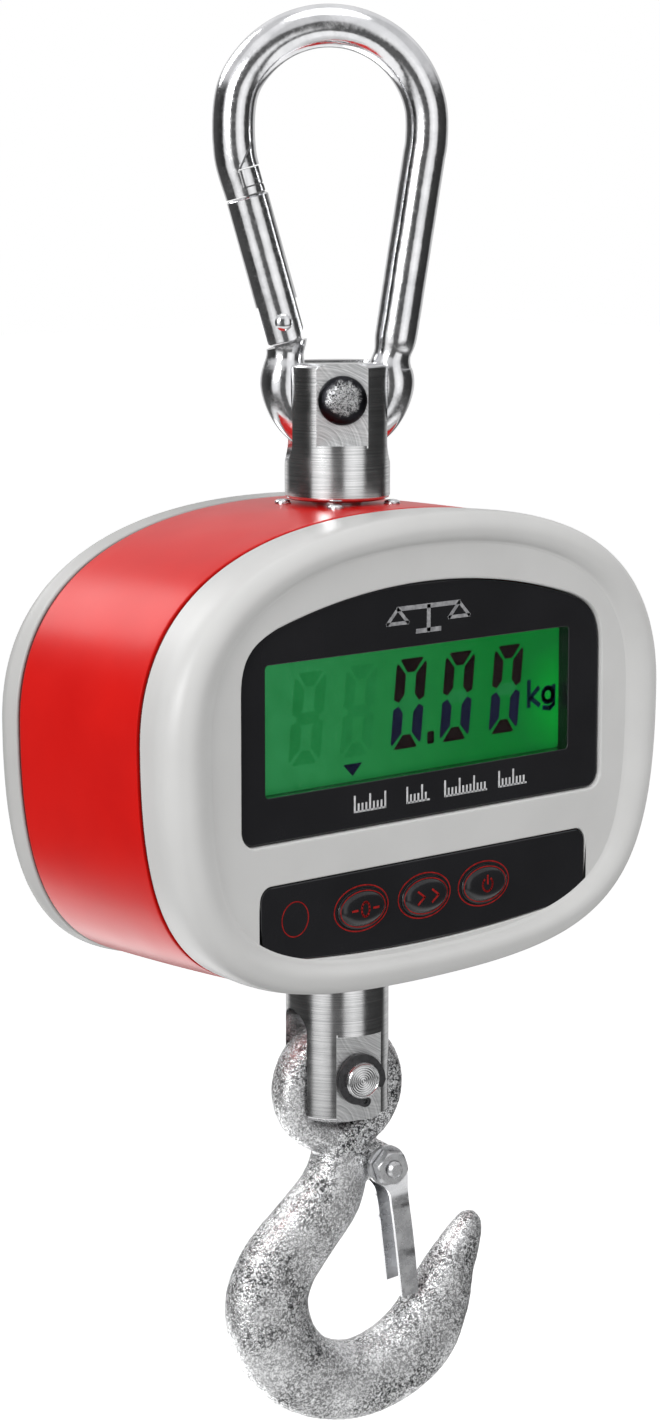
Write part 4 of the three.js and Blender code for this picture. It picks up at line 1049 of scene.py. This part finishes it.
def latch():
    sheet = 1.2
    shape = curve_through([
        (0.5, -5.4, 6, 8), (4.5, -3.6, 6.4, 7.6), (7.5, -0.6, 6.7, 6.4), (10.5, 0.9, 6.9, 5.4),
        (14, 1.1, 6.9, 5.05), (20, 1.1, 6.9, 5), (30, 0.8, 6.6, 5), (43, 0.3, 5.9, 5)], 5)
    skin = channel("latch_channel", shape)
    inside = [(along, -9, x - sheet, half - sheet) for along, _, x, half in shape]
    hollow = channel("t", [(-8, *inside[0][1:]), *inside, (52, *inside[-1][1:])])
    cut(skin, hollow)
    fuse(skin, *[rod("t", 6, a, b, LATCH, "Y") for a, b in ((-8, -6.6), (6.6, 8))])
    cut(skin, block("t", (-5, 9), (-3, 9), (-60, -40), LATCH), rod("t", 2.8, -20, 20, LATCH, "Y"))
    soften(skin, 0.35, 3)
    fit(smooth(skin), "latch", "zinc_plate", ZINC, stands_for=("latch",))

    at_bolt = LOWER @ shift(BOLT[0], 0, BOLT[1])
    bolt = turned("latch_screw", [(0, -13.6), (1.7, -13.6), (2.4, -12.9), (2.4, 9), (0, 9)], at_bolt, 48, "Y")
    threads = [
        turned("t", [(2.15, y - 0.28), (2.7, y - 0.28), (2.7, y + 0.28), (2.15, y)], at_bolt, 32, "Y", True)
        for y in (-12.6, -12.05)]
    cut(bolt, *threads)
    hexagon = oval(0, 0, 4.85, 4.85, 6)
    fuse(bolt, soften(prism("t", hexagon, 8.3, 11.6, at_bolt), 0.3))
    fit(smooth(bolt), "load_hook", "zinc_plate", ZINC, stands_for=("latch_bolt",))
    nut = prism("latch_lock_nut", oval(0, 0, 5.31, 5.31, 6), -11.8, -8.3, at_bolt @ turned_y(12))
    cone = turned("t", [(0, -11.9), (4.5, -11.9), (5.4, -11.1), (5.6, -8), (0, -8)], at_bolt, 64, "Y")
    combine(nut, "INTERSECT", [cone])
    cut(nut, rod("t", 2.6, -20, 0, at_bolt, "Y"))
    fit(smooth(soften(nut, 0.18)), "load_hook", "zinc_plate", ZINC, stands_for=("latch_nut",))

    coil = []
    for a in np.linspace(0, 2 * math.pi * 2, 96):
        coil.append((3.7 * math.cos(a), 5.3 + 0.45 * a / math.pi, 3.7 * math.sin(a)))
    coil += [(4.0, 6.1, -3), (4.2, 6.1, -6), (4.4, 6.0, -9)]
    rings = []
    for p, way in zip(coil, np.gradient(np.array(coil), axis=0)):
        way = Vector(way).normalized()
        side = way.cross(Vector((0, 1, 0))).normalized()
        rise = way.cross(side)
        rings.append([tuple(Vector(p) + (side * math.cos(t) + rise * math.sin(t)) * 0.4)
                      for t in full_turn(12)])
    spring = loft("latch_coil", rings, at_bolt)
    fit(smooth(spring, 60, False), "latch", "spring_steel", ZINC, stands_for=("latch_spring",))


# ------------------------------------------------------------------ parts inside the housing
def inner_parts():
    """CAD nodes shown as they are get a finish of their own."""
    board = Surface("circuit_board", (0.02, 0.12, 0.05), 0.4)
    board.tint(board.noise(600, 4, 0.7), 0.45, 0.55, (0.012, 0.09, 0.035), (0.03, 0.16, 0.06))
    alloy = Surface("aluminium_block", (0.7, 0.71, 0.72), 0.35, 1.0)
    brushed = alloy.noise(1, 3, 0.6, where=alloy.stretched(60, 60, 2200))
    alloy.tint(brushed, 0.3, 0.7, (0.62, 0.63, 0.64), (0.78, 0.79, 0.80))
    alloy.feed("Normal", alloy.bump(brushed, 0.02, 0.5))
    milky = Surface("diffuser", (0.85, 0.88, 0.85), 0.4)
    milky.tint(milky.noise(80), 0.3, 0.7, (0.8, 0.84, 0.8), (0.9, 0.92, 0.9))
    chosen = {
        "circuit_board": board.material, "aluminium_block": alloy.material, "diffuser": milky.material,
        "dark_plastic": DARK, "zinc_plate": ZINC, "turned_steel": ZINC, "spring_steel": ZINC,
    }
    nodes = {
        "gate_spring": "spring_steel", "upper_nut": "zinc_plate", "lower_nut": "zinc_plate",
        "upper_thrust_bearing": "turned_steel", "lower_thrust_bearing": "turned_steel",
        "lcd_backlight": "diffuser", "key_switch_1": "dark_plastic", "key_switch_2": "dark_plastic",
        "key_switch_3": "dark_plastic", "remote_sensor": "dark_plastic", "main_board": "circuit_board",
        "buzzer": "dark_plastic", "load_cell": "aluminium_block", "neck_plate": "turned_steel",
        "foot_plate": "turned_steel", "battery_pack": "dark_plastic", "battery_bracket": "turned_steel",
    }
    for node, slot in nodes.items():
        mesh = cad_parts[node].data
        mesh.materials.clear()
        mesh.materials.append(chosen[slot])


# ------------------------------------------------------------------ studio
# degrees to the right of the camera's own direction, then brightness
AROUND = (
    (-180, 0.60), (-152, 0.75), (-130, 0.08), (-70, 0.03), (-60, 0.05), (-54, 0.85), (-34, 1.05), (-17, 0.75),
    (-11, 0.12), (12, 0.09), (18, 0.85), (36, 1.1), (56, 0.8), (64, 0.05), (124, 0.03), (138, 0.6),
    (180, 0.60))
# sine of the angle above the horizon, then brightness
UNDERNEATH = ((-1, 0.5), (-0.9, 0.7), (-0.8, 1.0), (-0.54, 1.0), (-0.46, 0.10), (-0.2, 0.08))
# azimuth, elevation, distance in metres, size in metres, power, seen by matt surfaces, seen in reflections
LAMPS = {
    "key": (-75, 20, 1.1, 0.5, 6.6, True, True), "fill": (35, 25, 1.3, 0.7, 5.2, True, False),
    "top": (-20, 82, 0.9, 0.6, 1.0, True, True), "sheen": (-161, 40, 1.2, 0.65, 4.6, False, True),
    "low_sheen": (175, -43, 1.2, 0.9, 3.5, False, True)}
# the point that the lamps surround, in metres, and the camera's place in millimetres
AIM = Vector((0, 0, -0.19))
CAMERA_AT = Vector((-646.02, -690.73, -35.79))
FLOOR_Z, FLOOR_HALF = -600, 9000


def studio_floor():
    look = Surface("studio_floor", (0.9, 0.9, 0.9), 0.9)
    look.tint(look.noise(8, 3), 0.3, 0.7, (0.88, 0.88, 0.88), (0.92, 0.92, 0.92))
    look.shader.inputs["Emission Color"].default_value = (1, 1, 1, 1)
    look.shader.inputs["Emission Strength"].default_value = 0.55
    corners = [(x * FLOOR_HALF, y * FLOOR_HALF, FLOOR_Z) for x, y in ((-1, -1), (1, -1), (1, 1), (-1, 1))]
    floor = new_mesh("floor", corners, [(0, 1, 2, 3)])
    floor.data.materials.append(look.material)
    floor.visible_glossy = False
    floor.visible_diffuse = False


def studio_world():
    """Soft boxes round the camera for reflections, even grey for matt surfaces, white behind."""
    world = bpy.data.worlds.new("studio")
    bpy.context.scene.world = world
    world.use_nodes = True
    world.node_tree.nodes.clear()
    sky = Nodes(world.node_tree)
    turn = sky.node("ShaderNodeMapping")
    turn.inputs["Rotation"].default_value = (0, 0, math.radians(-CAMERA_AZIMUTH))
    sky.link(sky.node("ShaderNodeTexCoord").outputs["Generated"], turn.inputs["Vector"])
    split = sky.node("ShaderNodeSeparateXYZ")
    sky.link(turn.outputs[0], split.inputs[0])
    right, forward, up = split.outputs
    angle = sky.math("ARCTAN2", right, sky.math("MULTIPLY", forward, -1))
    boxes = sky.greys(sky.range(angle, -math.pi, math.pi, 0, 1), [((d + 180) / 360, g) for d, g in AROUND])
    above = sky.mix(sky.range(up, 0.26, 0.46, 0, 0.72, "SMOOTHSTEP"), boxes, (0.85, 0.85, 0.86))
    deep = sky.greys(sky.range(up, -1, 1, 0, 1), [((sine + 1) / 2, g) for sine, g in UNDERNEATH])
    mirrored = sky.mix(sky.range(up, -0.42, -0.22, 0, 1, "SMOOTHSTEP"), deep, above)
    path = sky.node("ShaderNodeLightPath")
    lit = sky.mix(path.outputs["Is Diffuse Ray"], mirrored, (0.5, 0.5, 0.5))
    background = sky.node("ShaderNodeBackground")
    sky.link(sky.mix(path.outputs["Is Camera Ray"], lit, (1, 1, 1)), background.inputs["Color"])
    sky.link(background.outputs[0], sky.node("ShaderNodeOutputWorld").inputs["Surface"])


def aimed(name, data, azimuth, elevation):
    """An object facing back along the given direction, and that direction."""
    made = bpy.data.objects.new(name, data)
    bpy.context.scene.collection.objects.link(made)
    a, e = math.radians(azimuth), math.radians(elevation)
    away = Vector((math.sin(a) * math.cos(e), -math.cos(a) * math.cos(e), math.sin(e)))
    made.rotation_euler = away.to_track_quat("Z", "Y").to_euler()
    return made, away


def studio():
    bpy.context.scene.view_settings.view_transform = "Standard"
    studio_floor()
    studio_world()
    for name, (azimuth, elevation, distance, size, power, on_matt, mirrored) in LAMPS.items():
        lamp = bpy.data.lights.new(name, "AREA")
        lamp.energy, lamp.shape, lamp.size = power, "DISK", size
        made, away = aimed(name, lamp, azimuth, elevation)
        made.location = AIM + away * distance
        made.visible_diffuse, made.visible_glossy, made.visible_camera = on_matt, mirrored, False
    camera = bpy.data.cameras.new("camera")
    camera.lens, camera.sensor_width, camera.sensor_fit = 84.2, 36, "AUTO"
    camera.clip_start, camera.clip_end = 0.05, 50
    made, _ = aimed("camera", camera, CAMERA_AZIMUTH, CAMERA_ELEVATION)
    made.location = CAMERA_AT * MM
    bpy.context.scene.camera = made


snap_hook()
clevises()
shells()
small_screws()
display()
keypad()
load_hook()
latch()
inner_parts()
studio()
